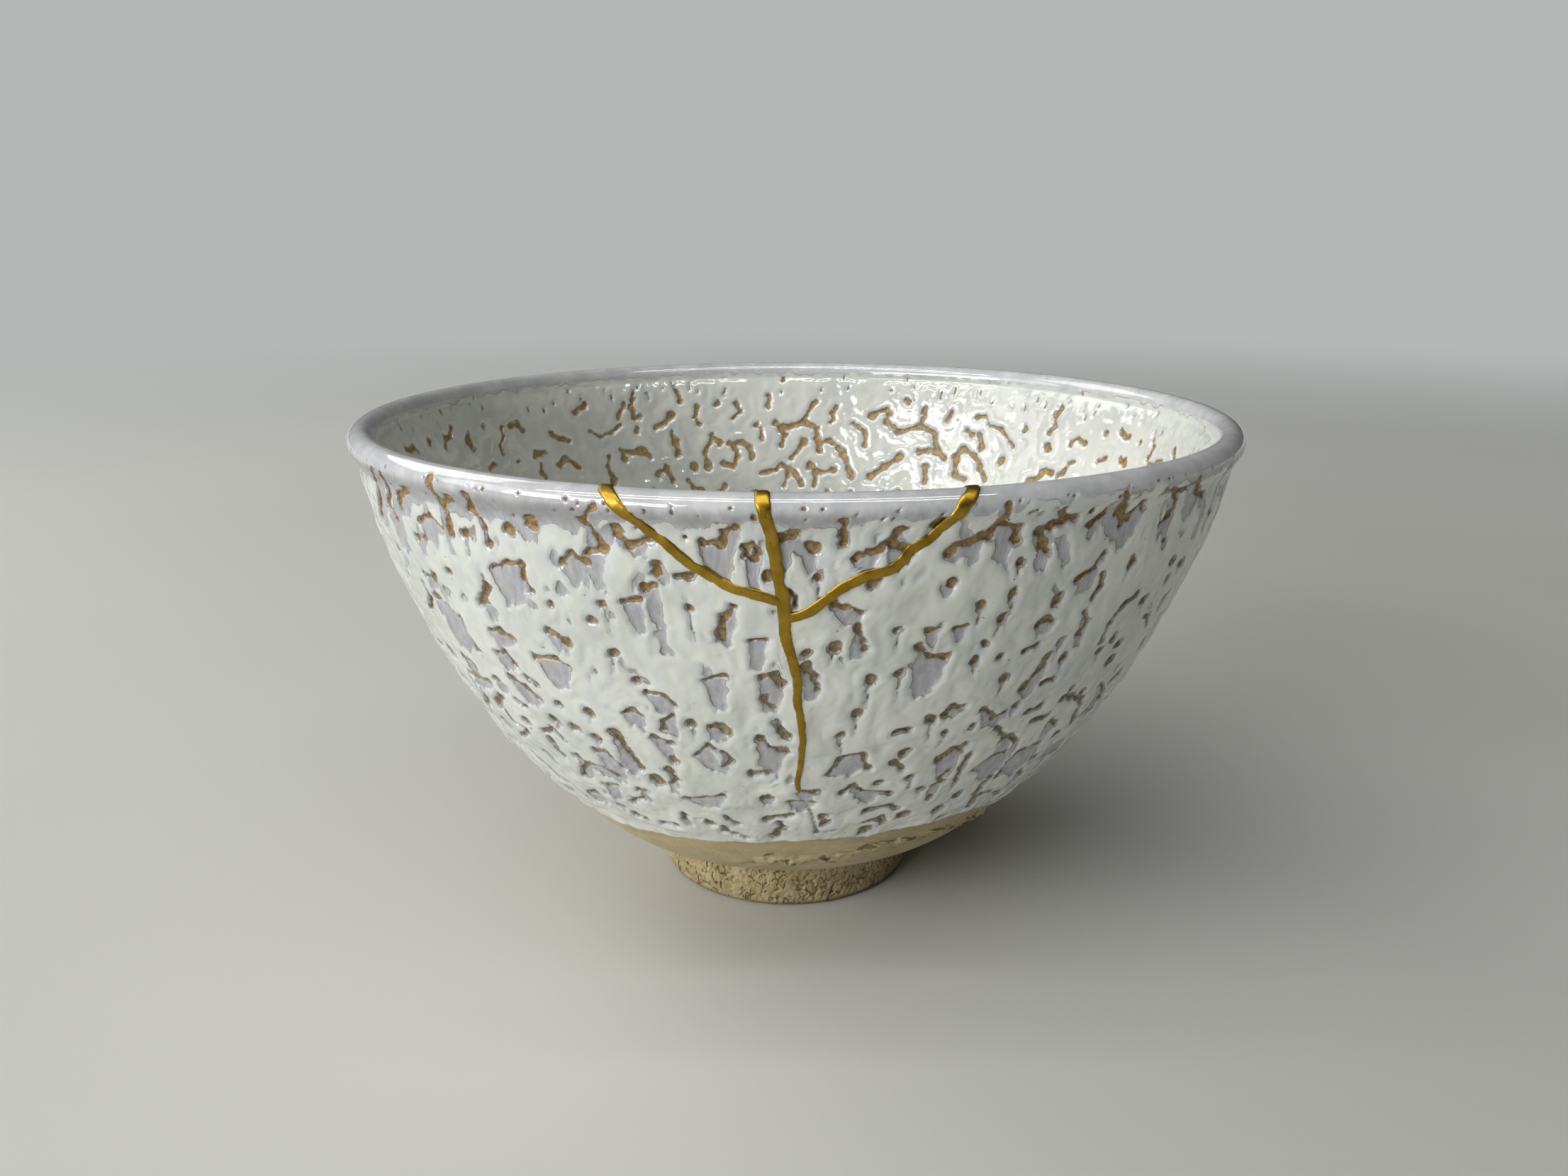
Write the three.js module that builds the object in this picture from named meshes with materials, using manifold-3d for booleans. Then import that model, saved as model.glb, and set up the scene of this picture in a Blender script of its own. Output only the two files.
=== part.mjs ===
// Tea bowl, broken at the rim and mended with lacquer and gold.
// Millimetres, +Z up, the foot stands on z = 0 and the seams face -Y.
import * as THREE from 'three';
import { mergeVertices } from 'three/addons/utils/BufferGeometryUtils.js';
import Module from 'manifold-3d';

const wasm = await Module();
wasm.setup();

// ---------------------------------------------------------------- dimensions
const HEIGHT = 72;             // table to the top of the lip
const RIM_RADIUS = 63.3;       // widest point of the rolled lip
const LIP_ROUND = 1.9;         // half the thickness of the lip
const FOOT_RADIUS = 19.2;      // foot ring, outside, at the table
const FOOT_TOP_RADIUS = 20.3;  // foot ring, outside, where it meets the bowl
const FOOT_INNER = 13.6;       // foot ring, inside, at the table
const FOOT_RECESS = 3.8;       // how far the turned recess rises in the foot
const FLOOR_Z = 10.6;          // middle of the floor inside the bowl
const LEAN = 1.2;              // the foot sits this far to -X of the rim's centre
const SEGMENTS = 72;           // round the bowl

const SEAM_GAP = 0.3;          // clear space each side of the joint
const SEAM_PROUD = 0.25;       // how far the gold stands off the glaze
const SEAM_WIDE = 1.2;         // width of the joint near the lip
const SEAM_SIDE = 1.1;         // width of the two side branches
const SEAM_TAIL = 0.75;        // width of the crack below the meeting point

// ------------------------------------------------------------------ profiles
// Outside of the wall, [radius, height], from the foot to just under the lip.
const OUTER = [
  [FOOT_TOP_RADIUS, 8.6], [23.9, 9.4], [26.6, 10.3], [28.7, 11.3], [32.2, 14.0],
  [34.4, 16.3], [36.3, 18.4], [40.1, 22.1], [43.3, 25.8], [46.3, 30.0],
  [49.1, 34.6], [51.9, 39.6], [54.35, 44.6], [56.9, 50.4], [59.0, 56.2],
  [60.3, 60.3], [61.2, 64.0], [61.8, 67.2], [62.55, 68.6],
];
// Inside of the wall, [radius, height], from just under the lip to the axis.
const INNER = [
  [59.15, 68.4], [58.35, 66.6], [57.3, 63.8], [56.1, 60.0], [54.5, 55.6],
  [52.3, 50.2], [49.5, 44.4], [46.6, 39.4], [43.4, 34.6], [39.9, 30.0],
  [36.1, 25.8], [31.9, 22.0], [27.4, 18.7], [22.4, 15.7], [17.2, 13.4],
  [11.6, 11.7], [5.8, 10.85], [0, FLOOR_Z],
];
// Underside, [radius, height], from the axis out to the foot ring's edge.
const UNDER = [
  [0, FOOT_RECESS + 0.5], [2.2, FOOT_RECESS + 0.1], [7.0, FOOT_RECESS],
  [11.4, FOOT_RECESS - 0.5], [12.7, 1.6], [FOOT_INNER - 0.3, 0.4],
  [FOOT_INNER, 0], [FOOT_RADIUS - 0.5, 0], [FOOT_RADIUS, 0.5], [19.75, 4.4],
];

// The rolled lip, an arc from the outside over the top to the inside.
function lipArc(round, steps) {
  const points = [];
  const cx = RIM_RADIUS - LIP_ROUND;
  const cz = HEIGHT - LIP_ROUND;
  for (let i = 0; i <= steps; i += 1) {
    const a = THREE.MathUtils.degToRad(-22 + (224 * i) / steps);
    points.push([cx + round * Math.cos(a), cz + round * Math.sin(a)]);
  }
  return points;
}

// Move a wall profile along its own normal, to make a thicker shell.
function offsetProfile(points, amount) {
  return points.map(([r, z], i) => {
    const [r0, z0] = points[Math.max(i - 1, 0)];
    const [r1, z1] = points[Math.min(i + 1, points.length - 1)];
    const length = Math.hypot(r1 - r0, z1 - z0);
    const moved = r + (amount * (z1 - z0)) / length;
    return [r === 0 ? 0 : Math.max(moved, 0.5), z - (amount * (r1 - r0)) / length];
  });
}

// ------------------------------------------------------------------- helpers
function toManifold(geometry) {
  const bare = geometry.clone();
  bare.deleteAttribute('normal');
  bare.deleteAttribute('uv');
  const merged = mergeVertices(bare, 1e-4);
  const mesh = new wasm.Mesh({
    numProp: 3,
    vertProperties: new Float32Array(merged.attributes.position.array),
    triVerts: new Uint32Array(merged.index.array),
  });
  return new wasm.Manifold(mesh);
}

function toGeometry(solid) {
  const mesh = solid.getMesh();
  const geometry = new THREE.BufferGeometry();
  geometry.setAttribute('position', new THREE.BufferAttribute(new Float32Array(mesh.vertProperties), 3));
  geometry.setIndex(new THREE.BufferAttribute(new Uint32Array(mesh.triVerts), 1));
  geometry.computeVertexNormals();
  return geometry;
}

// The hand-thrown lean: the rim's centre is a little to +X of the foot's.
function lean(geometry) {
  const p = geometry.attributes.position;
  for (let i = 0; i < p.count; i += 1) {
    p.setX(i, p.getX(i) + LEAN * (Math.min(p.getZ(i), HEIGHT) / HEIGHT - 1));
  }
  return geometry;
}

function lathe(profile) {
  const geometry = new THREE.LatheGeometry(
    profile.map(([r, z]) => new THREE.Vector2(r, z)), SEGMENTS);
  geometry.rotateX(Math.PI / 2);      // the lathe turns about Y; stand it on Z
  return lean(geometry);
}

// A flat outline in X and Z, pushed through the front wall along Y.
function throughFront(outline) {
  const shape = new THREE.Shape(outline.map(([x, z]) => new THREE.Vector2(x, z)));
  const geometry = new THREE.ExtrudeGeometry(shape, { depth: 44, bevelEnabled: false });
  geometry.rotateX(Math.PI / 2);      // outline in X-Z, depth runs towards -Y
  geometry.translate(0, -26, 0);
  return toManifold(geometry);
}

// A strip of a given half width about a path [x, z, half width scale].
function strip(path, half, extra) {
  const left = [];
  const right = [];
  path.forEach(([x, z, scale = 1], i) => {
    const [x0, z0] = path[Math.max(i - 1, 0)];
    const [x1, z1] = path[Math.min(i + 1, path.length - 1)];
    const length = Math.hypot(x1 - x0, z1 - z0);
    const w = half * scale + extra;
    left.push([x - (w * (z1 - z0)) / length, z + (w * (x1 - x0)) / length]);
    right.push([x + (w * (z1 - z0)) / length, z - (w * (x1 - x0)) / length]);
  });
  return throughFront(left.concat(right.reverse()));
}

// ---------------------------------------------------------------- seam paths
// Seen from the front, [x, z]; the ends above the lip only cut through it.
const MEET = [-2.35, 60.3];
const MEET_LOW = [-1.1, 58.0];
const LEFT_PATH = [
  [-24.6, 77.0], [-20.7, 72.8], [-19.5, 71.3], [-18.4, 70.1], [-15.8, 67.9],
  [-13.8, 66.5], [-11.7, 64.6], [-9.8, 63.2], [-7.6, 61.8], [-5.5, 61.2],
  [-3.4, 60.6], [-1.7, 60.0],
];
const MIDDLE_PATH = [
  [-4.1, 77.0], [-3.8, 72.6], [-3.65, 71.0], [-2.9, 68.2], [-2.45, 65.5],
  [-2.05, 62.7], [-1.6, 60.3], [-1.45, 58.8], [-1.4, 56.2], [-0.65, 52.9],
];
const TAIL_PATH = [
  [-1.55, 57.6, 1.5], [-1.35, 56.2, 1.4], [-0.65, 52.9, 1.15], [-0.05, 49.9], [0.05, 46.9],
  [0.4, 44.2], [0.6, 40.9], [0.45, 37.4, 0.9], [0.1, 34.2, 0.8], [0.3, 32.7, 0.7],
];
const RIGHT_PATH = [
  [-1.9, 57.8], [-0.4, 58.2], [1.4, 59.0], [4.4, 61.5], [6.95, 63.0],
  [10.15, 63.9], [11.8, 65.6], [14.4, 67.5], [15.85, 69.0], [17.3, 71.0],
  [18.6, 72.7], [21.6, 77.0],
];

// -------------------------------------------------------------------- solids
const shellProfile = UNDER.concat(OUTER, lipArc(LIP_ROUND, 10), INNER);
const shell = toManifold(lathe(shellProfile));

// A slightly fuller wall, to give the gold its raised face inside and out.
const fuller = toManifold(lathe([[0, 20]].concat(
  [[40, 20]],
  offsetProfile(OUTER, SEAM_PROUD).slice(7),
  lipArc(LIP_ROUND + SEAM_PROUD, 10),
  offsetProfile(INNER, SEAM_PROUD).slice(0, 11),
  [[0, 24]],
)));

const cutters = [
  strip(LEFT_PATH, SEAM_SIDE / 2, SEAM_GAP),
  strip(MIDDLE_PATH, SEAM_WIDE / 2, SEAM_GAP),
  strip(TAIL_PATH, SEAM_TAIL / 2, SEAM_GAP),
  strip(RIGHT_PATH, SEAM_SIDE / 2, SEAM_GAP),
];
const joints = [
  strip(LEFT_PATH, SEAM_SIDE / 2, 0),
  strip(MIDDLE_PATH, SEAM_WIDE / 2, 0),
  strip(TAIL_PATH, SEAM_TAIL / 2, 0),
  strip(RIGHT_PATH, SEAM_SIDE / 2, 0),
];
const cut = cutters.reduce((solid, tool) => solid.subtract(tool), shell);

// Regions of the two rim pieces, bounded by the middles of the seams.
const leftRegion = throughFront(
  LEFT_PATH.concat([MEET], MIDDLE_PATH.slice(0, 6).reverse()));
const rightRegion = throughFront(
  MIDDLE_PATH.slice(0, 7).concat([MEET_LOW], RIGHT_PATH.slice(2)));

const body = cut.subtract(leftRegion).subtract(rightRegion);
const sherdLeft = cut.intersect(leftRegion);
const sherdRight = cut.intersect(rightRegion);
const seam = joints.reduce((a, b) => a.add(b)).intersect(fuller);

// --------------------------------------------------------------------- group
function part(name, solid, color, roughness, metalness) {
  const mesh = new THREE.Mesh(
    toGeometry(solid),
    new THREE.MeshStandardMaterial({ color, roughness, metalness }));
  mesh.name = name;
  return mesh;
}

const group = new THREE.Group();
group.add(part('bowl_body', body, 0xe1e8e2, 0.18, 0));
group.add(part('rim_sherd_left', sherdLeft, 0xdfe6e4, 0.18, 0));
group.add(part('rim_sherd_right', sherdRight, 0xdfe6e4, 0.18, 0));
group.add(part('gold_seam', seam, 0xb0831c, 0.32, 1));

export default group;
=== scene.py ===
# Kintsugi tea bowl: thick crawled white glaze over a tan body, two rim sherds
# joined back with gold. Lengths in the functions below are millimetres; meshes
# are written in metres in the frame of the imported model.
import math
import bpy
import numpy as np
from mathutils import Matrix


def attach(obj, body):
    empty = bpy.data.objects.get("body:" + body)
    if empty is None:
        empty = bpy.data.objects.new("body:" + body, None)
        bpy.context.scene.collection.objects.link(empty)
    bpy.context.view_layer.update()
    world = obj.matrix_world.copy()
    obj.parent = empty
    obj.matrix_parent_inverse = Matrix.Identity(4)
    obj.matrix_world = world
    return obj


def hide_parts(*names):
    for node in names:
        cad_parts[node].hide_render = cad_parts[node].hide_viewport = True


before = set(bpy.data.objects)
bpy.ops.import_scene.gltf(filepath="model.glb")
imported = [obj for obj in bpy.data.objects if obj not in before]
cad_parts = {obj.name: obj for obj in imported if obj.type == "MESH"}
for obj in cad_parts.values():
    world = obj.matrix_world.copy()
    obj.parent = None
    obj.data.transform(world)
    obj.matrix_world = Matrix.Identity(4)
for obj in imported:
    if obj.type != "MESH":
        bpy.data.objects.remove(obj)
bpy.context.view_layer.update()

# ------------------------------------------------------------------ camera
cam = bpy.data.cameras.new("camera")
cam.sensor_fit = "HORIZONTAL"
cam.sensor_width = 36.0
cam.lens = 28.89
cam.clip_start = 0.01
cam.clip_end = 20.0
cam_obj = bpy.data.objects.new("camera", cam)
cam_obj.location = (-0.0012, -0.1866, 0.0983)
cam_obj.rotation_euler = (math.radians(90 - 16.22), 0.0, math.radians(0.13))
bpy.context.scene.collection.objects.link(cam_obj)
bpy.context.scene.camera = cam_obj

# ------------------------------------------------------------- named sizes
HEIGHT = 72.0
RIM_RADIUS = 63.3
LIP_ROUND = 1.9
LEAN = 1.2
SPLIT_Z = 43.0        # the outside glaze is two skins, parted here
BAND_Z = 66.5         # the lip skin starts here outside
BAND_IN_Z = 67.4      # and ends here inside

OUTER = [(20.3, 8.6), (23.9, 9.4), (26.6, 10.3), (28.7, 11.3), (32.2, 14.0), (34.4, 16.3),
         (36.3, 18.4), (40.1, 22.1), (43.3, 25.8), (46.3, 30.0), (49.1, 34.6), (51.9, 39.6),
         (54.35, 44.6), (56.9, 50.4), (59.0, 56.2), (60.3, 60.3), (61.2, 64.0), (61.8, 67.2),
         (62.55, 68.6)]
INNER = [(59.15, 68.4), (58.35, 66.6), (57.3, 63.8), (56.1, 60.0), (54.5, 55.6), (52.3, 50.2),
         (49.5, 44.4), (46.6, 39.4), (43.4, 34.6), (39.9, 30.0), (36.1, 25.8), (31.9, 22.0),
         (27.4, 18.7), (22.4, 15.7), (17.2, 13.4), (11.6, 11.7), (5.8, 10.85), (0.0, 10.6)]
UNDER = [(0.0, 4.3), (2.2, 3.9), (7.0, 3.8), (11.4, 3.3), (12.7, 1.6), (13.3, 0.4), (13.6, 0.0),
         (18.7, 0.0), (19.2, 0.5), (19.75, 4.4)]

# Seam lines seen from the front, [x, z].
LEFT_PATH = [(-20.7, 72.8), (-19.5, 71.3), (-18.4, 70.1), (-15.8, 67.9), (-13.8, 66.5), (-11.7, 64.6),
             (-9.8, 63.2), (-7.6, 61.8), (-5.5, 61.2), (-3.4, 60.6), (-1.7, 60.0)]
MIDDLE_PATH = [(-3.8, 72.6), (-3.65, 71.0), (-2.9, 68.2), (-2.45, 65.5), (-2.05, 62.7), (-1.6, 60.3),
               (-1.45, 58.8), (-1.4, 56.2), (-0.65, 52.9), (-0.05, 49.9), (0.05, 46.9), (0.4, 44.2),
               (0.6, 40.9), (0.45, 37.4), (0.1, 34.2), (0.3, 32.7)]
RIGHT_PATH = [(-1.9, 57.8), (-0.4, 58.2), (1.4, 59.0), (4.4, 61.5), (6.95, 63.0), (10.15, 63.9),
              (11.8, 65.6), (14.4, 67.5), (15.85, 69.0), (17.3, 71.0), (18.6, 72.7)]


# ------------------------------------------------------------------- tools
def smooth(a, b, x):
    k = np.clip((x - a) / (b - a), 0.0, 1.0)
    return k * k * (3 - 2 * k)


_rng = np.random.default_rng(41)
PERM = np.concatenate([_rng.permutation(256)] * 3)
GRAD = _rng.normal(size=(256, 3))
GRAD /= np.linalg.norm(GRAD, axis=1)[:, None]


def noise(p, seed=0):
    """Gradient noise, about -0.7 to 0.7, on points (..., 3)."""
    p = p + seed * np.array([17.31, 9.73, 5.19])
    i = np.floor(p).astype(np.int64)
    f = p - i
    i &= 255
    u = f * f * f * (f * (f * 6 - 15) + 10)

    def corner(dx, dy, dz):
        h = PERM[PERM[PERM[(i[..., 0] + dx) & 255] + ((i[..., 1] + dy) & 255)] + ((i[..., 2] + dz) & 255)]
        g = GRAD[h]
        return g[..., 0] * (f[..., 0] - dx) + g[..., 1] * (f[..., 1] - dy) + g[..., 2] * (f[..., 2] - dz)

    def mix(a, b, k):
        return a + (b - a) * k

    x0 = mix(mix(corner(0, 0, 0), corner(1, 0, 0), u[..., 0]), mix(corner(0, 1, 0), corner(1, 1, 0), u[..., 0]), u[..., 1])
    x1 = mix(mix(corner(0, 0, 1), corner(1, 0, 1), u[..., 0]), mix(corner(0, 1, 1), corner(1, 1, 1), u[..., 0]), u[..., 1])
    return mix(x0, x1, u[..., 2])


def curve(points, step=0.1):
    """A smooth line through points, sampled evenly."""
    p = np.asarray(points, float)
    q = np.vstack([2 * p[0] - p[1], p, 2 * p[-1] - p[-2]])
    out = []
    for k in range(1, len(q) - 2):
        n = max(2, int(np.linalg.norm(q[k + 1] - q[k]) / step))
        s = np.linspace(0, 1, n, endpoint=False)[:, None]
        d0, d1, d2 = [max(np.linalg.norm(q[k + j] - q[k + j - 1]), 1e-6) ** 0.5 for j in (0, 1, 2)]
        m1 = (q[k + 1] - q[k]) + d1 * ((q[k] - q[k - 1]) / d0 - (q[k + 1] - q[k - 1]) / (d0 + d1))
        m2 = (q[k + 1] - q[k]) + d1 * ((q[k + 2] - q[k + 1]) / d2 - (q[k + 2] - q[k]) / (d1 + d2))
        a = 2 * s ** 3 - 3 * s ** 2 + 1
        out.append(a * q[k] + (s ** 3 - 2 * s ** 2 + s) * m1 + (1 - a) * q[k + 1] + (s ** 3 - s ** 2) * m2)
    out.append(p[-1:])
    return np.vstack(out)


class Profile:
    """A turned profile (r, z) measured along its length t."""

    def __init__(self, points):
        d = np.r_[0, np.cumsum(np.linalg.norm(np.diff(points, axis=0), axis=1))]
        self.length = d[-1]
        self.t = np.linspace(0, d[-1], int(d[-1] / 0.05) + 1)
        self.r = np.interp(self.t, d, points[:, 0])
        self.z = np.interp(self.t, d, points[:, 1])
        k = np.hanning(15)
        k /= k.sum()
        tr = np.gradient(np.convolve(np.pad(self.r, 7, mode="edge"), k, "valid"), self.t)
        tz = np.gradient(np.convolve(np.pad(self.z, 7, mode="edge"), k, "valid"), self.t)
        n = np.hypot(tr, tz)
        self.nr, self.nz = tz / n, -tr / n

    def at(self, t):
        return [np.interp(t, self.t, a) for a in (self.r, self.z, self.nr, self.nz)]

    def radius(self, t):
        return np.interp(t, self.t, self.r)


lip = []
for k in range(25):
    a = math.radians(-22 + 224 * k / 24)
    lip.append((RIM_RADIUS - LIP_ROUND + LIP_ROUND * math.cos(a), HEIGHT - LIP_ROUND + LIP_ROUND * math.sin(a)))
WALL = Profile(curve(OUTER + lip + INNER))
FOOT = Profile(np.vstack([np.array(UNDER), curve(OUTER)[:]]))
T_TOP = WALL.t[np.argmax(WALL.z)]
_o = WALL.t <= T_TOP
_i = (WALL.t >= T_TOP) & (WALL.z < 72.01)


def t_out(z):
    return np.interp(z, WALL.z[_o], WALL.t[_o])


def t_in(z):
    return np.interp(z, WALL.z[_i][::-1], WALL.t[_i][::-1])


def lean(z):
    return LEAN * (np.minimum(z, HEIGHT) / HEIGHT - 1)


def place(profile, phi, t, h=0.0):
    """Points at angle phi (0 is the front, + to the right) and length t, raised by h."""
    r, z, nr, nz = profile.at(t)
    r = r + h * nr
    z = z + h * nz
    return np.stack([r * np.sin(phi) + lean(z), -r * np.cos(phi), z], -1)


def wrap(a):
    return (a + math.pi) % (2 * math.pi) - math.pi


def phi_of(x, t):
    """The angle near the front where the surface at t is at x."""
    r, z, _, _ = WALL.at(t)
    return np.arcsin(np.clip((x - lean(z)) / r, -0.99, 0.99))


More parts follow.
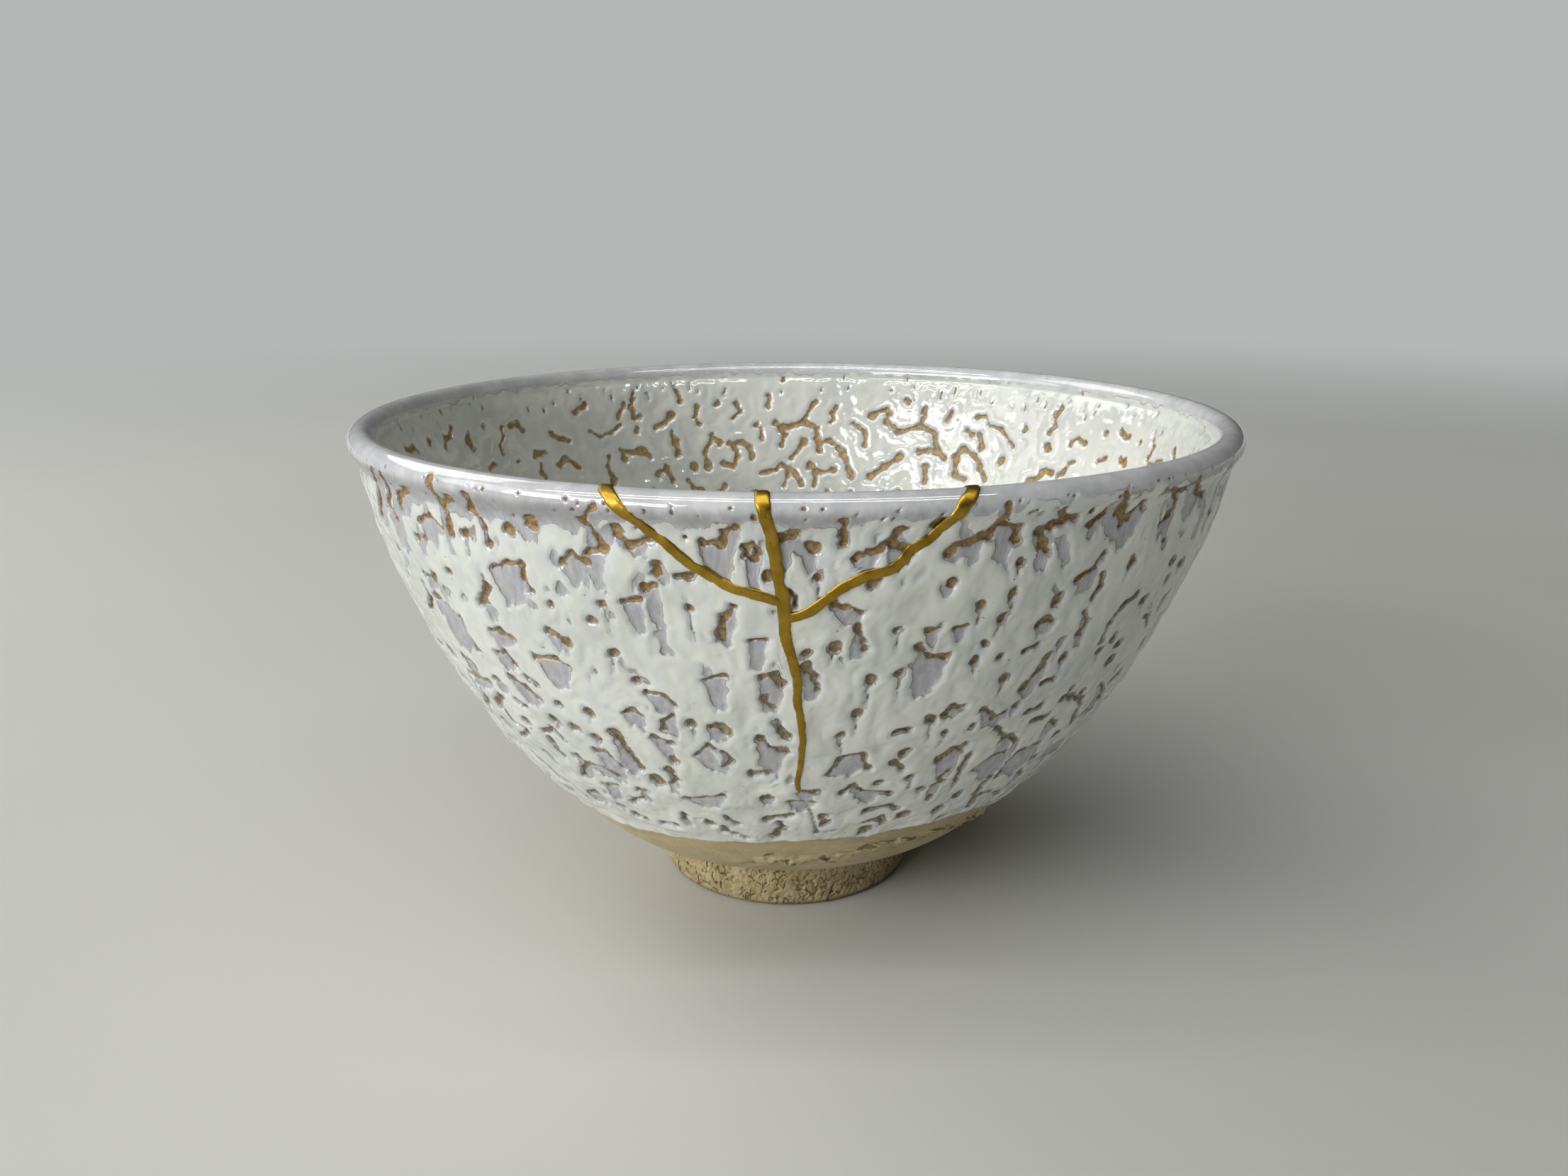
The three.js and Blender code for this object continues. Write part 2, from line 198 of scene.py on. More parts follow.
# --------------------------------------------------- marks of the crawled glaze
# Each mark is a bare brown stroke and, below it, a thin grey-lavender curtain.
# (stroke width, height at which the curtain ends or 0, then angle and height
# of each point of the stroke)
OUTSIDE = [
    (.9, 60, -19.5, 70, -21.3, 68.3, -20, 66, -19.5, 65.2, -21.4, 64.3), (.8, 60, -24.6, 62.9, -23.3, 64.2, -21.6, 63.3),
    (.9, 0, -17.8, 67.6), (.9, 64.4, -17.8, 66.8, -16.6, 65.9, -14, 66.8), (.9, 62, -9.1, 66.3, -7.4, 66.5, -6.8, 67.8, -5.7, 68.5),
    (.8, 61, -4.9, 66.2, -4.3, 66.5, -3.8, 65.8, -4.3, 65.0, -4.9, 65.4), (.8, 0, -4.2, 69.7), (1.1, 63.5, -1.8, 67.3, -.6, 67.6),
    (1.1, 64.6, 1, 66.3, 1.6, 65.9), (.8, 0, 4.1, 69.3, 4.3, 66.6), (.9, 63.5, 5.6, 64.9, 8, 66.2), (1.2, 63.6, 9.8, 68, 9, 66.5, 11.3, 65.5),
    (1, 0, 13.5, 68.5), (.9, 63.7, 15, 65.2, 18.4, 66.7), (.9, 0, 20.2, 70.2, 20.2, 68.5, 19, 66.5), (.9, 63, 20.2, 68, 22.3, 67.3, 22.4, 66),
    (.9, 0, 26.8, 68.8, 27.5, 67.6, 29, 67.5), (.9, 62, 24.8, 66.5, 26.3, 67), (.9, 0, 25, 66.5, 25.7, 65, 26.5, 64), (.9, 65, 31.3, 66.5, 33, 67.6),
    (1, 63, 34.6, 70.2, 35.5, 67.5, 36.3, 66.2, 37.3, 66.7, 38.6, 68, 39.2, 67.3), (.9, 0, 41.4, 69.1),
    (.9, 62.5, 42.7, 69.2, 45, 68, 46, 67, 45.5, 65.5, 43.5, 64.5), (.9, 65, 45, 68.4, 48, 69.5, 50, 67.7, 53.5, 66.5),
    (1.3, 65, -27.6, 67.6, -27.6, 67), (1, 0, -30.9, 66), (.9, 0, -35.2, 69.4, -35.5, 67.7, -34.3, 66, -34, 64), (1.1, 62.8, -41, 70.5, -40.3, 67.5, -40.3, 64.5),
    (1, 0, -40.3, 67.8, -38.3, 68.7), (.7, 62, -46.2, 64.6, -44, 65.6, -41.8, 64.3), (1.1, 64, -51, 65.5, -50, 67, -47, 68.3),
    (1, 59, -51.6, 69.3, -53, 67, -54.5, 65.2, -53, 63.5), (1, 61, -54, 69.8, -57.5, 67.2, -58, 65, -59.5, 62.5), (.8, 61.5, -37.7, 64.4),
    (1, 61.5, 23.2, 63.1), (.7, 0, -14, 63.8, -14, 62.8), (.6, 0, -12, 62.5, -10.8, 62.5, -10, 63.3), (.7, 0, -2.8, 62.9), (.7, 60.3, 2.1, 62.8),
    (.7, 0, 7.6, 62.2), (.7, 0, 46, 62), (.8, 56.2, -34.5, 60.8, -32, 61.8, -30.2, 61.9, -30, 60, -29.6, 59), (.7, 60.6, -48, 62.2, -46, 62.2),
    (.9, 57, -43.2, 58.7), (.9, 56, -15.4, 61, -14.2, 61.1), (.9, 55, -17.8, 59.2, -16.4, 59.4), (.8, 54.5, -20.5, 58.3), (.8, 49.5, -20.7, 52),
    (.7, 0, -22.3, 56.2), (.8, 55, -11, 58.7), (.9, 54, -6.3, 59.3, -7.3, 57.8, -7.9, 56, -7.8, 55.2), (.8, 57, 3.8, 59.5, 5.2, 59, 6.8, 58.6),
    (.8, 52.5, 6.3, 56.8, 7, 55, 7.5, 53.7), (.5, 51.5, -4.7, 55.2, -3, 55.2), (.8, 53.4, 10.8, 56.1), (.8, 52, 4.2, 54.3), (.8, 55.6, 19.7, 58.3),
    (.8, 56.8, 23.1, 59.4), (.8, 54, 22.7, 56.4), (.8, 45.5, 25.9, 47.8), (.8, 45.5, 8.6, 49.7), (.8, 46.5, 11.8, 50.3), (.8, 41.8, 7.6, 44.7),
    (.9, 53.8, 14.1, 55.8, 15.3, 56), (.8, 47, 13.5, 53.7, 15, 52.3, 17, 52), (.8, 60, 15.8, 61.5), (.9, 53.7, 17.4, 55.7, 18.6, 55.9),
    (.7, 53, 28, 54.6, 29, 55.2, 30, 54.8), (.7, 0, 21.5, 53.2), (.8, 49, 20.7, 51), (.8, 0, 24, 51.2), (.9, 0, 27.3, 51.4, 28.8, 51.8), (.8, 49, 32.7, 51.7),
    (.8, 47, 34.4, 49), (.8, 0, 29.5, 57.7), (.8, 58, 34.6, 62.5, 33.8, 61, 31.5, 60), (.7, 58.4, 39.8, 60.7), (.8, 0, 35.6, 59.8, 36, 58.3, 35.2, 57),
    (.8, 50.8, 34.5, 55.3, 36, 53.6, 35.5, 52), (.9, 0, 44.2, 55.8, 42, 54.5, 40.3, 52, 40.7, 50), (1.1, 44, 31.5, 49.7, 31.3, 48.5, 29.8, 45.5),
    (.9, 0, 32.6, 45.8, 34.1, 46), (.8, 0, 50.6, 58.6), (.8, 54, 51.2, 56), (.8, 0, 53.6, 57.6), (.8, 52, 46.7, 54.2), (.8, 0, 43.3, 49.8), (.8, 46, 41.7, 48.3),
    (.8, 0, 45.8, 48.3), (.8, 0, 46.2, 45.8), (.8, 0, 49.5, 51.5, 51.5, 50.8, 53.5, 48.8), (.7, 45.5, -10, 49.5, -7.8, 50.2),
    (1.0, 45.2, -3.6, 50.2, -2.3, 50.6, -1.6, 49.4), (1.0, 0, -3.4, 47.4, -2.4, 45.8), (.9, 47.2, 1.2, 51.6, 2.2, 50.2, 2.6, 48.4), (.9, 0, 1.2, 53.4),
    (.7, 0, -18.6, 48.6), (.8, 44, -17.5, 46.8, -15.5, 46.8, -14.2, 45.3), (.8, 0, -27.3, 57.4), (1, 51, -28.7, 53.6, -26.5, 52.6),
    (.9, 0, -36.5, 58, -38, 56.5, -38.8, 55.4), (.8, 53, -38, 56, -36.7, 54.8), (.8, 49.6, -38.8, 52, -37, 51.9, -35.3, 51.2),
    (.8, 46, -39.5, 48.5, -37.7, 49, -37.2, 47.3), (.8, 45.5, -32.2, 49.4, -29, 49.7, -27.4, 49), (.8, 0, -36, 46, -34.5, 45), (.8, 54.6, -50, 56.7, -48.5, 56.5, -47.2, 57.5),
    (.9, 0, -51.8, 55.2, -51.5, 53.5, -53, 51.8, -54, 51), (.9, 46.5, -49.5, 54, -47, 52.7, -44.9, 52, -44.5, 49.5, -44, 47.8),
    (.7, 41, -21.3, 43.3, -20.2, 43.9, -19.2, 43.3), (.8, 41.4, -12.6, 43), (1, 33, -24, 39.8, -22.8, 36.5, -22.2, 34.2), (.8, 37, -18.4, 40.2, -16, 39.5),
    (.65, 35.3, -12.8, 37.7, -11, 39.6, -9, 38.8, -8, 37.6, -9.5, 36), (.8, 0, -16.5, 36.3), (.8, 35, -4.1, 41.3, -2.9, 40, -1.2, 39.3),
    (.7, 0, -2, 44, -1.5, 42.5, -.8, 41.8), (.8, 0, -5.2, 35.5, -2.8, 35.6), (1.2, 29.3, -3.9, 30.8, -3.3, 30.9), (1.2, 31, -20.2, 32.3),
    (.9, 28.2, -15.8, 29.8, -12.5, 30.3, -10.2, 31), (1, 0, -10.3, 26.8, -8.8, 25.3), (1.2, 23.8, -13.8, 25), (.8, 0, -3.6, 26.6, 0, 27.4),
    (.8, 0, -1.8, 26, -1.2, 24.8, -2.8, 22.9), (.7, 0, -23.6, 23.3, -20.6, 23.4), (.8, 38.7, 5.9, 41.8), (.8, 40, 17.2, 43), (.8, 38.5, 20.1, 40.6),
    (.8, 31.5, 17.4, 33.7), (.6, 0, 12.8, 41.7, 14.6, 41.9), (.8, 36.7, 15, 38.2), (.8, 34.8, 5.2, 35.5, 6.7, 38, 9, 38.6, 10.5, 36),
    (.8, 0, 13.9, 36.6, 15.5, 35.4), (1, 30.9, 1.4, 32.4, 3.6, 32.2), (.8, 0, 12.8, 33.1), (.7, 29.8, 7.6, 31.7, 9, 32.7, 10.5, 31.5, 15.2, 30.8),
    (.8, 28.2, .2, 30.2, 3.6, 30.2), (.9, 26.6, 5.2, 27.5), (.8, 0, 5.9, 26.2), (.7, 0, 5, 24, 7.4, 24.1), (.8, 0, 12, 27.6, 16, 28.2, 17.4, 27.5),
    (.8, 0, 13, 25.3, 15.5, 25.6, 16.3, 24.6), (1.3, 33, 21.2, 36, 22.5, 37.2, 23.8, 37.3), (.9, 29, 26, 35.7, 25.5, 34, 26.4, 30.3),
    (.8, 0, 28.3, 39.8, 30, 38.5, 31, 37.3), (.8, 30, 32, 37.5, 34.3, 36.2, 33.3, 34.5, 30, 34, 28.5, 32.6), (.9, 0, 32.8, 41.5, 34.8, 41.7),
    (.9, 0, 35.3, 39.3, 37.8, 39.5), (.9, 0, 40.3, 43.5, 39.2, 42, 41.5, 41.5), (.9, 0, 41.5, 41.5, 45, 40, 46, 38.5, 47.3, 36), (.8, 0, 43.6, 41.5),
    (.9, 29, 35.2, 30, 35.3, 32.5, 36.3, 33.8, 40.7, 34), (.9, 29.4, 20, 30.9), (.9, 0, 22.3, 29), (.9, 0, 19.5, 25.8), (.9, 24.6, 25.8, 26),
    (.9, 0, 28.3, 28), (.9, 0, 33.3, 29.5, 33, 27.5, 34.3, 24.2), (.8, 0, 34.8, 26.3, 37.8, 26.2), (.9, 0, 39.3, 25.6, 41, 24.8),
    (.9, 35, 49, 41.3, 52, 39.5, 55, 37.5), (.9, 29, 46.5, 31, 52, 33.3), (.8, 40.4, -51.3, 42.2, -46.2, 42.2),
    (.9, 0, -45, 40.5, -48, 38.5, -46.5, 38, -45.5, 36, -43.2, 35.5, -46.5, 33.5), (1.3, 36, -41.3, 37.4), (.9, 0, -38, 36.6, -36, 37.7, -34.5, 36.4),
    (.9, 29.6, -33.5, 33.7, -32, 32.8, -34, 31.5, -35.5, 29.5), (.8, 0, -38.2, 35.5, -37.4, 32.7), (.8, 31, -31, 33, -29.5, 32.8, -27.3, 31.6),
    (.9, 37.8, -34.3, 39.4), (.9, 0, -30.6, 39.2), (.8, 36.6, -27.7, 38.3), (1.1, 40.8, -26.9, 42.4), (1.1, 41, -39, 44.8, -37, 43.8, -35.6, 42.5),
    (.8, 30.7, -28.7, 35.9, -27, 36.2, -25.3, 33.8), (.9, 28, -24, 29.8, -23, 29.9), (.9, 26.3, -31.3, 28.8, -29, 29.5), (1.3, 23.6, -31.2, 24.8),
    (.13, 0, .9, 32.3, 2.6, 29, 3.5, 27.5, 4.6, 24.5), (.3, 0, -.8, 61.2, -.1, 60.4, -.2, 59.4), (.5, 0, -47.5, 30.5, -46, 29.5, -44.7, 27.2, -41.5, 26, -39.9, 23.3),
]
INSIDE = [
    (.9, 229.5, 62, 228, 61, 226, 60.3), (.9, 234, 59, 232, 59), (.9, 229, 56.5, 227.5, 57.5, 225, 55.5), (.9, 223.5, 65, 221, 66),
    (.6, 221, 61.5, 219, 60.3, 216.5, 60.8, 214.3, 62), (.8, 215.3, 57.8, 214.5, 57, 210.5, 57, 209, 55.8), (1, 214.5, 55.8),
    (.9, 218, 56.5, 218.7, 55, 218, 52.5), (.9, 213, 65.5, 214.3, 63.7), (.8, 210.8, 66.5, 211.7, 65, 211.2, 63, 210, 63.3), (1.1, 211, 60.9),
    (.9, 208, 52.5, 206, 53.7, 205, 51), (.9, 203.8, 63, 205, 61.8, 207, 61), (.9, 204, 60, 203.5, 58, 203.2, 56), (.8, 198.6, 64.2, 199, 62.5, 198.2, 61),
    (.8, 202, 67, 201.8, 65.5), (.9, 194.6, 64.8), (.9, 196, 59, 194.5, 57.5), (.9, 196, 58.5, 197.5, 56, 197.2, 53.3), (.8, 191, 64.7, 190, 63.2, 191.5, 62),
    (.9, 192.5, 57.3, 190, 57.5, 188.5, 56.5, 187.9, 54.8), (.9, 191.5, 57, 191, 55, 192, 53.3, 194, 53.7), (.9, 200, 53.5), (.8, 187, 60.5, 186, 60, 186, 58),
    (.8, 184.5, 66, 184.6, 64), (.9, 183.3, 61, 182, 60, 181.2, 58.5, 182, 57), (.9, 182, 60, 178, 61, 175.5, 65), (.9, 177.5, 61, 175, 60, 175, 58, 174.3, 56),
    (.9, 177.5, 57.5, 179, 55.5, 180, 54.5), (.9, 174.5, 57.2, 172.5, 57.8, 169.5, 55.5, 167.5, 51.5), (.9, 186.5, 51.8, 183.5, 52.3, 181.8, 53.5, 179, 51.5, 177.8, 49.6),
    (.8, 180.5, 52, 181.5, 49.5), (.7, 171.5, 64, 172.3, 62.8, 171.7, 61.8, 172.5, 61), (.9, 176, 53, 174, 52, 171, 52.5), (.9, 174.8, 52, 175, 49.5),
    (.9, 167.8, 61, 165.5, 59.5, 165.2, 57), (.9, 164.3, 62.6, 161.5, 64, 161.2, 63), (.9, 161.5, 61.6, 159, 59.8, 155, 61),
    (.9, 154, 64.5, 154.3, 61, 151.5, 60, 150.5, 57, 148.5, 55.8), (.9, 152, 54, 151.7, 51.3), (.8, 157.7, 65.5), (1.1, 157.5, 55.5, 160.5, 53.5, 163.5, 51.5),
    (.9, 154, 56.5, 152, 56.8), (.8, 149.3, 62.6, 148.5, 64.2), (.8, 145, 61, 143.8, 60.4), (.9, 145, 57.8, 146, 56, 145.5, 53, 143, 52.5),
    (.9, 145, 57.8, 142, 56.8, 140.5, 55, 138.7, 53), (.8, 142, 60.5, 141, 58.5), (.5, 143.3, 63.6, 141.5, 64, 140.3, 62.3, 137.8, 62, 134.5, 59.3),
    (.9, 136.2, 56.5), (.9, 132.8, 62.5),
]
rng = np.random.default_rng(2603)


class Mark:
    def __init__(self, phi0, t0, points, widths, below, taper, side, halo):
        self.phi0, self.t0, self.side = phi0, t0, side      # side: 1 outside, -1 inside
        self.r0 = max(float(WALL.radius(t0)), 6.0)
        self.p, self.w = np.asarray(points, float), np.asarray(widths, float)
        self.below, self.taper, self.halo = below, taper, halo
        self.skew, self.slope, self.round = rng.uniform(-0.3, 0.3), rng.uniform(-0.45, 0.45), rng.uniform(0.1, 0.5)
        self.soft = min(1.0, float(self.w.mean()) / 0.85) ** 2
        m = 1.9
        self.box = (self.p[:, 0].min() - m, self.p[:, 0].max() + m, min(self.p[:, 1].min(), below if below is not None else 9e9) - m,
                    self.p[:, 1].max() + m)


def widths_for(n, w):
    k = rng.uniform(0.62, 1.20, n)
    k[rng.integers(0, n)] *= 1.30
    return w * k


marks = []
for w, end, *pz in OUTSIDE:
    ang, zed = np.radians(pz[0::2]), np.array(pz[1::2], float)
    t = t_out(zed)
    a0, t0 = ang.mean(), t.mean()
    pts = np.c_[(ang - a0) * WALL.radius(t0), t - t0]
    below = None if not end else float(t_out(end) - t0)
    marks.append(Mark(a0, t0, pts, widths_for(len(pts), w * (1.0 if w < 0.3 else 1.16 if zed.mean() > 60 else 1.07)), below, 0.93 if len(pts) == 1 else 0.45, 1, 0.16))
for w, *pz in INSIDE:
    ang, zed = np.radians(pz[0::2]), np.array(pz[1::2], float)
    t = t_in(zed)
    a0, t0 = ang.mean(), t.mean()
    pts = np.c_[(ang - a0) * WALL.radius(t0), -(t - t0)]
    marks.append(Mark(wrap(a0), t0, pts, widths_for(len(pts), 1.22 * w), None, 0.5, -1, 0.12))


def known_points():
    out = []
    for m in marks:
        for u, v in m.p:
            out.append((m.phi0 + u / m.r0, m.t0 + m.side * v))
    return out


def turned(points, angle, mirror, scale):
    p = np.array(points, float) * scale
    p[:, 0] *= mirror
    c, s = math.cos(angle), math.sin(angle)
    return p @ np.array([[c, s], [-s, c]])


HOOKS = [[(-1.5, .3), (-.5, -.4), (.4, .3), (1.4, .9)], [(-1.2, -.6), (-.9, .6), (.2, .9), (1.2, .2)], [(-.3, 1.5), (.2, .3), (-.3, -.6), (.6, -1.3)],
         [(-1.3, .7), (0, 0), (.2, -1.2)], [(-.9, 0), (.9, .3)], [(0, 1.2), (.2, -.2), (1.3, -.5)]]
BARS = [[(-1.2, 0), (0, .25), (1.2, -.1)], [(-.8, -.2), (0, .25), (.8, -.1)], [(-.5, 0), (.5, .1)], [(0, 0)], [(-1.0, .4), (.2, .1), (.9, -.8)], [(-.2, .8), (.2, -.8)]]
ARMS = [[(-1.9, .2), (-.6, -.3), (.5, .4), (1.7, 1.0)], [(0, 1.8), (.2, .5), (-.5, -.7), (-.2, -1.9)], [(-1.6, -.5), (-.4, .2), (.9, -.3)], [(0, 0)],
        [(-1.2, 1.1), (-.3, .1), (1.0, -.2), (1.5, -1.3)], [(-.8, .1), (.8, -.1)]]


def scatter(t0, t1, side, gap, kinds, allowed, count):
    pts = known_points()
    known = np.array(pts) if pts else np.zeros((0, 2))
    for _ in range(count):
        t = rng.uniform(t0, t1)
        if rng.uniform() > WALL.radius(t) / 62.0:
            continue
        a = rng.uniform(-math.pi, math.pi)
        if not allowed(math.degrees(a), t):
            continue
        r = WALL.radius(t)
        if len(known) and (np.hypot(wrap(known[:, 0] - a) * r, (known[:, 1] - t) * 1.0).min() < gap * rng.uniform(0.80, 1.55)):
            continue
        shape, w, drop, taper = kinds(t)
        n = len(shape)
        below = None if drop is None else float(min(shape[:, 1]) * 0.5 - drop)
        m = Mark(a, t, shape, widths_for(n, w * (1.08 if side > 0 else 1.0)), below, taper, side, 0.16 if side > 0 else 0.12)
        marks.append(m)
        extra = np.array([(a + u / m.r0, t + side * v) for u, v in m.p])
        known = np.vstack([known, extra])


def upper_kind(t):
    s = turned(HOOKS[rng.integers(len(HOOKS))], rng.normal(0, 0.45), rng.choice([-1, 1]), rng.uniform(0.75, 1.45))
    return s, rng.uniform(0.75, 1.15), (rng.uniform(1.6, 5.0) if rng.uniform() < 0.75 else None), 0.45


def middle_kind(t):
    k = rng.uniform()
    if k < 0.36:
        return np.zeros((1, 2)), rng.uniform(0.55, 1.05), rng.uniform(1.6, 3.8), 0.93
    if k < 0.52:
        s = turned(HOOKS[rng.integers(len(HOOKS))], rng.normal(0, 0.3), rng.choice([-1, 1]), rng.uniform(0.9, 1.35))
        return s, rng.uniform(0.8, 1.05), rng.uniform(3.0, 6.0), 0.4
    if k < 0.84:
        s = turned(BARS[rng.integers(len(BARS))], rng.normal(0, 0.3), rng.choice([-1, 1]), rng.uniform(0.8, 1.25))
        return s, rng.uniform(0.6, 0.9), rng.uniform(1.6, 3.6), 0.5
    s = turned(HOOKS[rng.integers(len(HOOKS))], rng.normal(0, 0.5), rng.choice([-1, 1]), rng.uniform(0.6, 1.0))
    return s, rng.uniform(0.6, 0.9), None, 0.4


def lower_kind(t):
    if rng.uniform() < 0.30:
        s = turned(HOOKS[rng.integers(len(HOOKS))], rng.normal(0, 0.5), rng.choice([-1, 1]), rng.uniform(0.95, 1.6))
        return s, rng.uniform(0.7, 1.0), (rng.uniform(1.6, 3.4) if rng.uniform() < 0.7 else None), 0.35
    s = turned(BARS[rng.integers(len(BARS))], rng.normal(0, 0.45), rng.choice([-1, 1]), rng.uniform(0.6, 1.35))
    return s, rng.uniform(0.55, 1.1), (rng.uniform(1.0, 2.2) if rng.uniform() < 0.5 else None), 0.3


def inner_kind(t):
    s = turned(ARMS[rng.integers(len(ARMS))], rng.normal(0, 0.8), rng.choice([-1, 1]), rng.uniform(0.7, 1.55))
    return s, rng.uniform(0.75, 1.15), None, 0.4


def side_only(d, t):
    return True


def at_notch(d, t):
    return not (-20 < d < 19 and t > t_out(57.0)) and abs(d) > 1.5


scatter(t_out(61.5), t_out(68.6), 1, 3.9, upper_kind, lambda d, t: at_notch(d, t) and abs(d) > 57, 5000)
scatter(t_out(44.5), t_out(61.5), 1, 3.8, middle_kind, lambda d, t: at_notch(d, t) and abs(d) > 54, 9000)
scatter(t_out(23.0), t_out(44.5), 1, 3.2, lower_kind, lambda d, t: abs(d) > 50 or abs(d) > 3, 9000)
for _ in range(230):                        # pinholes close under the lip
    a = rng.uniform(-math.pi, math.pi)
    marks.append(Mark(a, t_out(70.7 - 3.6 * rng.uniform() ** 1.8), [(0, 0)], [rng.uniform(0.20, 0.46)], None, 0.4, 1, 0.03))
scatter(t_in(65.5), t_in(46.5), -1, 3.7, inner_kind, lambda d, t: not (-25 < d < 24 and t < t_in(56)) and not (abs(d) > 127 and t < t_in(50)), 9000)
scatter(t_in(46.5), t_in(24.0), -1, 4.2, inner_kind, side_only, 4000)
scatter(t_in(24.0), t_in(11.5), -1, 6.5, inner_kind, side_only, 500)
# short upright dashes close under the rim inside
for _ in range(130):
    a = rng.uniform(-math.pi, math.pi)
    t = t_in(rng.uniform(66.0, 70.0))
    n = rng.uniform(0.1, 0.7)
    marks.append(Mark(a, t, [(0, n), (rng.normal(0, .12), -n)], [0.26, 0.38], None, 0.4, -1, 0.05))


def capsule(u, v, p, w):
    """Signed distance to a chain of rounded strokes."""
    if len(p) == 1:
        return np.hypot(u - p[0, 0], (v - p[0, 1]) * 0.9) - w[0] * 0.56
    d = np.full(u.shape, 9.0)
    for k in range(len(p) - 1):
        a, b = p[k], p[k + 1]
        e = b - a
        s = np.clip(((u - a[0]) * e[0] + (v - a[1]) * e[1]) / max(e @ e, 1e-9), 0, 1)
        slim = 1 - 0.34 * min(1.0, math.sqrt(e @ e) / 1.4) * np.sin(math.pi * s)
        x = np.hypot(u - a[0] - s * e[0], v - a[1] - s * e[1]) - (w[k] + (w[k + 1] - w[k]) * s) * 0.5 * slim
        kk = 0.18
        h = np.clip(0.5 + 0.5 * (d - x) / kk, 0, 1)
        d = d + (x - d) * h - kk * h * (1 - h)
    return d


def fields(phi, t, base):
    """Signed distances to bare strokes and to thin glaze, on flat arrays."""
    brown = np.full(phi.shape, 2.0)
    thin = np.full(phi.shape, 2.0)
    wu = 0.46 * noise(base / 1.45, 1) + 0.30 * noise(base / 0.62, 2) + 0.10 * noise(base / 0.33, 15)
    wv = 0.46 * noise(base / 1.45, 3) + 0.30 * noise(base / 0.62, 4) + 0.10 * noise(base / 0.33, 16)
    rag = 1.6 * noise(base / np.array([0.75, 0.75, 3.5]), 5)
    swell = 0.34 * noise(base / 1.05, 33) + 0.12 * noise(base / 0.4, 34)
    lobe = 0.9 * noise(base / np.array([1.6, 1.6, 1.9]), 17) + 0.35 * noise(base / np.array([0.5, 0.5, 1.2]), 18)
    for m in marks:
        lo, hi, vlo, vhi = m.box
        t0, t1 = (m.t0 + vlo, m.t0 + vhi) if m.side > 0 else (m.t0 - vhi, m.t0 - vlo)
        k = np.nonzero((t > t0) & (t < t1))[0]
        if not len(k):
            continue
        u = wrap(phi[k] - m.phi0) * m.r0
        near = (u > lo) & (u < hi)
        k, u = k[near], u[near]
        if not len(k):
            continue
        v = m.side * (t[k] - m.t0)
        u, v = u + wu[k] * (0.3 + 0.7 * m.soft), v + wv[k] * (0.3 + 0.7 * m.soft)
        d = capsule(u, v, m.p, m.w) + swell[k] * m.soft
        area = d - m.halo
        if m.below is not None:
            order = np.argsort(m.p[:, 0])
            top = np.interp(u, m.p[order, 0], m.p[order, 1])
            span = np.maximum(top - m.below, 0.3)
            f = np.clip((top - v) / span, 0, 1)
            mid = 0.5 * (m.p[:, 0].min() + m.p[:, 0].max()) + m.skew * f * span * 0.5
            half = 0.5 * (m.p[:, 0].max() - m.p[:, 0].min()) + 0.36 * m.w.mean()
            x = u - mid
            if m.taper > 0.8:
                half = half * (1 - m.taper * f ** 0.7)
                low = m.below
            else:
                half = half * (1 - m.taper * f) + 0.55 * lobe[k]
                low = m.below + rag[k] + m.slope * x + m.round * x * x
            hang = np.maximum(np.maximum(np.abs(x) - half, v - top), low - v)
            area = np.minimum(area, hang)
            if m.taper > 0.8:
                tip = m.below + 0.1
                d = np.minimum(d, capsule(u, v, np.array([(mid.mean(), tip + 0.45 * (0 - tip)), (mid.mean(), tip)]), np.array([0.16, 0.10])))
        brown[k] = np.minimum(brown[k], d)
        thin[k] = np.minimum(thin[k], area)
    # the thin band under and over the lip
    deg = np.degrees(phi)
    zb = np.interp(wrap(phi) * 180 / math.pi, [-180, -100, -60, -51, -27, -15, 5, 11, 22, 35, 60, 110, 180],
                   [67.6, 68.6, 67.2, 66.8, 66.8, 68.6, 68.7, 69, 70.1, 70.1, 69.2, 68.2, 67.6])
    zb = zb + 2.0 * noise(base / np.array([2.6, 2.6, 9]), 6) + 0.9 * noise(base / np.array([1.2, 1.2, 4]), 7) + 0.4 * noise(base / np.array([0.5, 0.5, 2]), 40)
    band = np.maximum(t_out(zb) - t, t - t_in(70.0 + 1.2 * noise(base / np.array([1.6, 1.6, 9]), 8)))
    # thin places of no fixed shape, most of them close under the lip
    z = base[:, 2]
    few = np.interp(z, [20, 46, 58, 63, 67, 70], [0.50, 0.50, 0.40, 0.27, 0.20, 0.26])
    loose = (few - noise(base / np.array([2.3, 2.3, 3.3]), 19) - 0.28 * noise(base / np.array([0.8, 0.8, 1.7]), 20)) * 2.2
    loose = np.where(t < T_TOP, loose, loose + 0.8)
    thin = np.minimum(thin, loose)
    return brown, np.minimum(thin, band), band


def edge_z(phi):
    """Height of the glaze's lower edge."""
    z = np.interp(wrap(phi) * 180 / math.pi, [-180, -130, -85, -55, -35, -28, -19, -8, 0, 11, 18, 25, 34, 43, 58, 85, 130, 180],
                  [20.4, 21.6, 18.2, 17.6, 18.4, 18.8, 19.5, 20.1, 20.8, 21.2, 21.4, 22.2, 22.0, 20.3, 18.3, 18.6, 21.8, 20.4])
    ring = np.stack([np.sin(phi) * 12, np.cos(phi) * 12, 0 * phi], -1)
    return z + 0.5 * noise(ring, 9) + 0.35 * noise(ring * 3.1, 10)


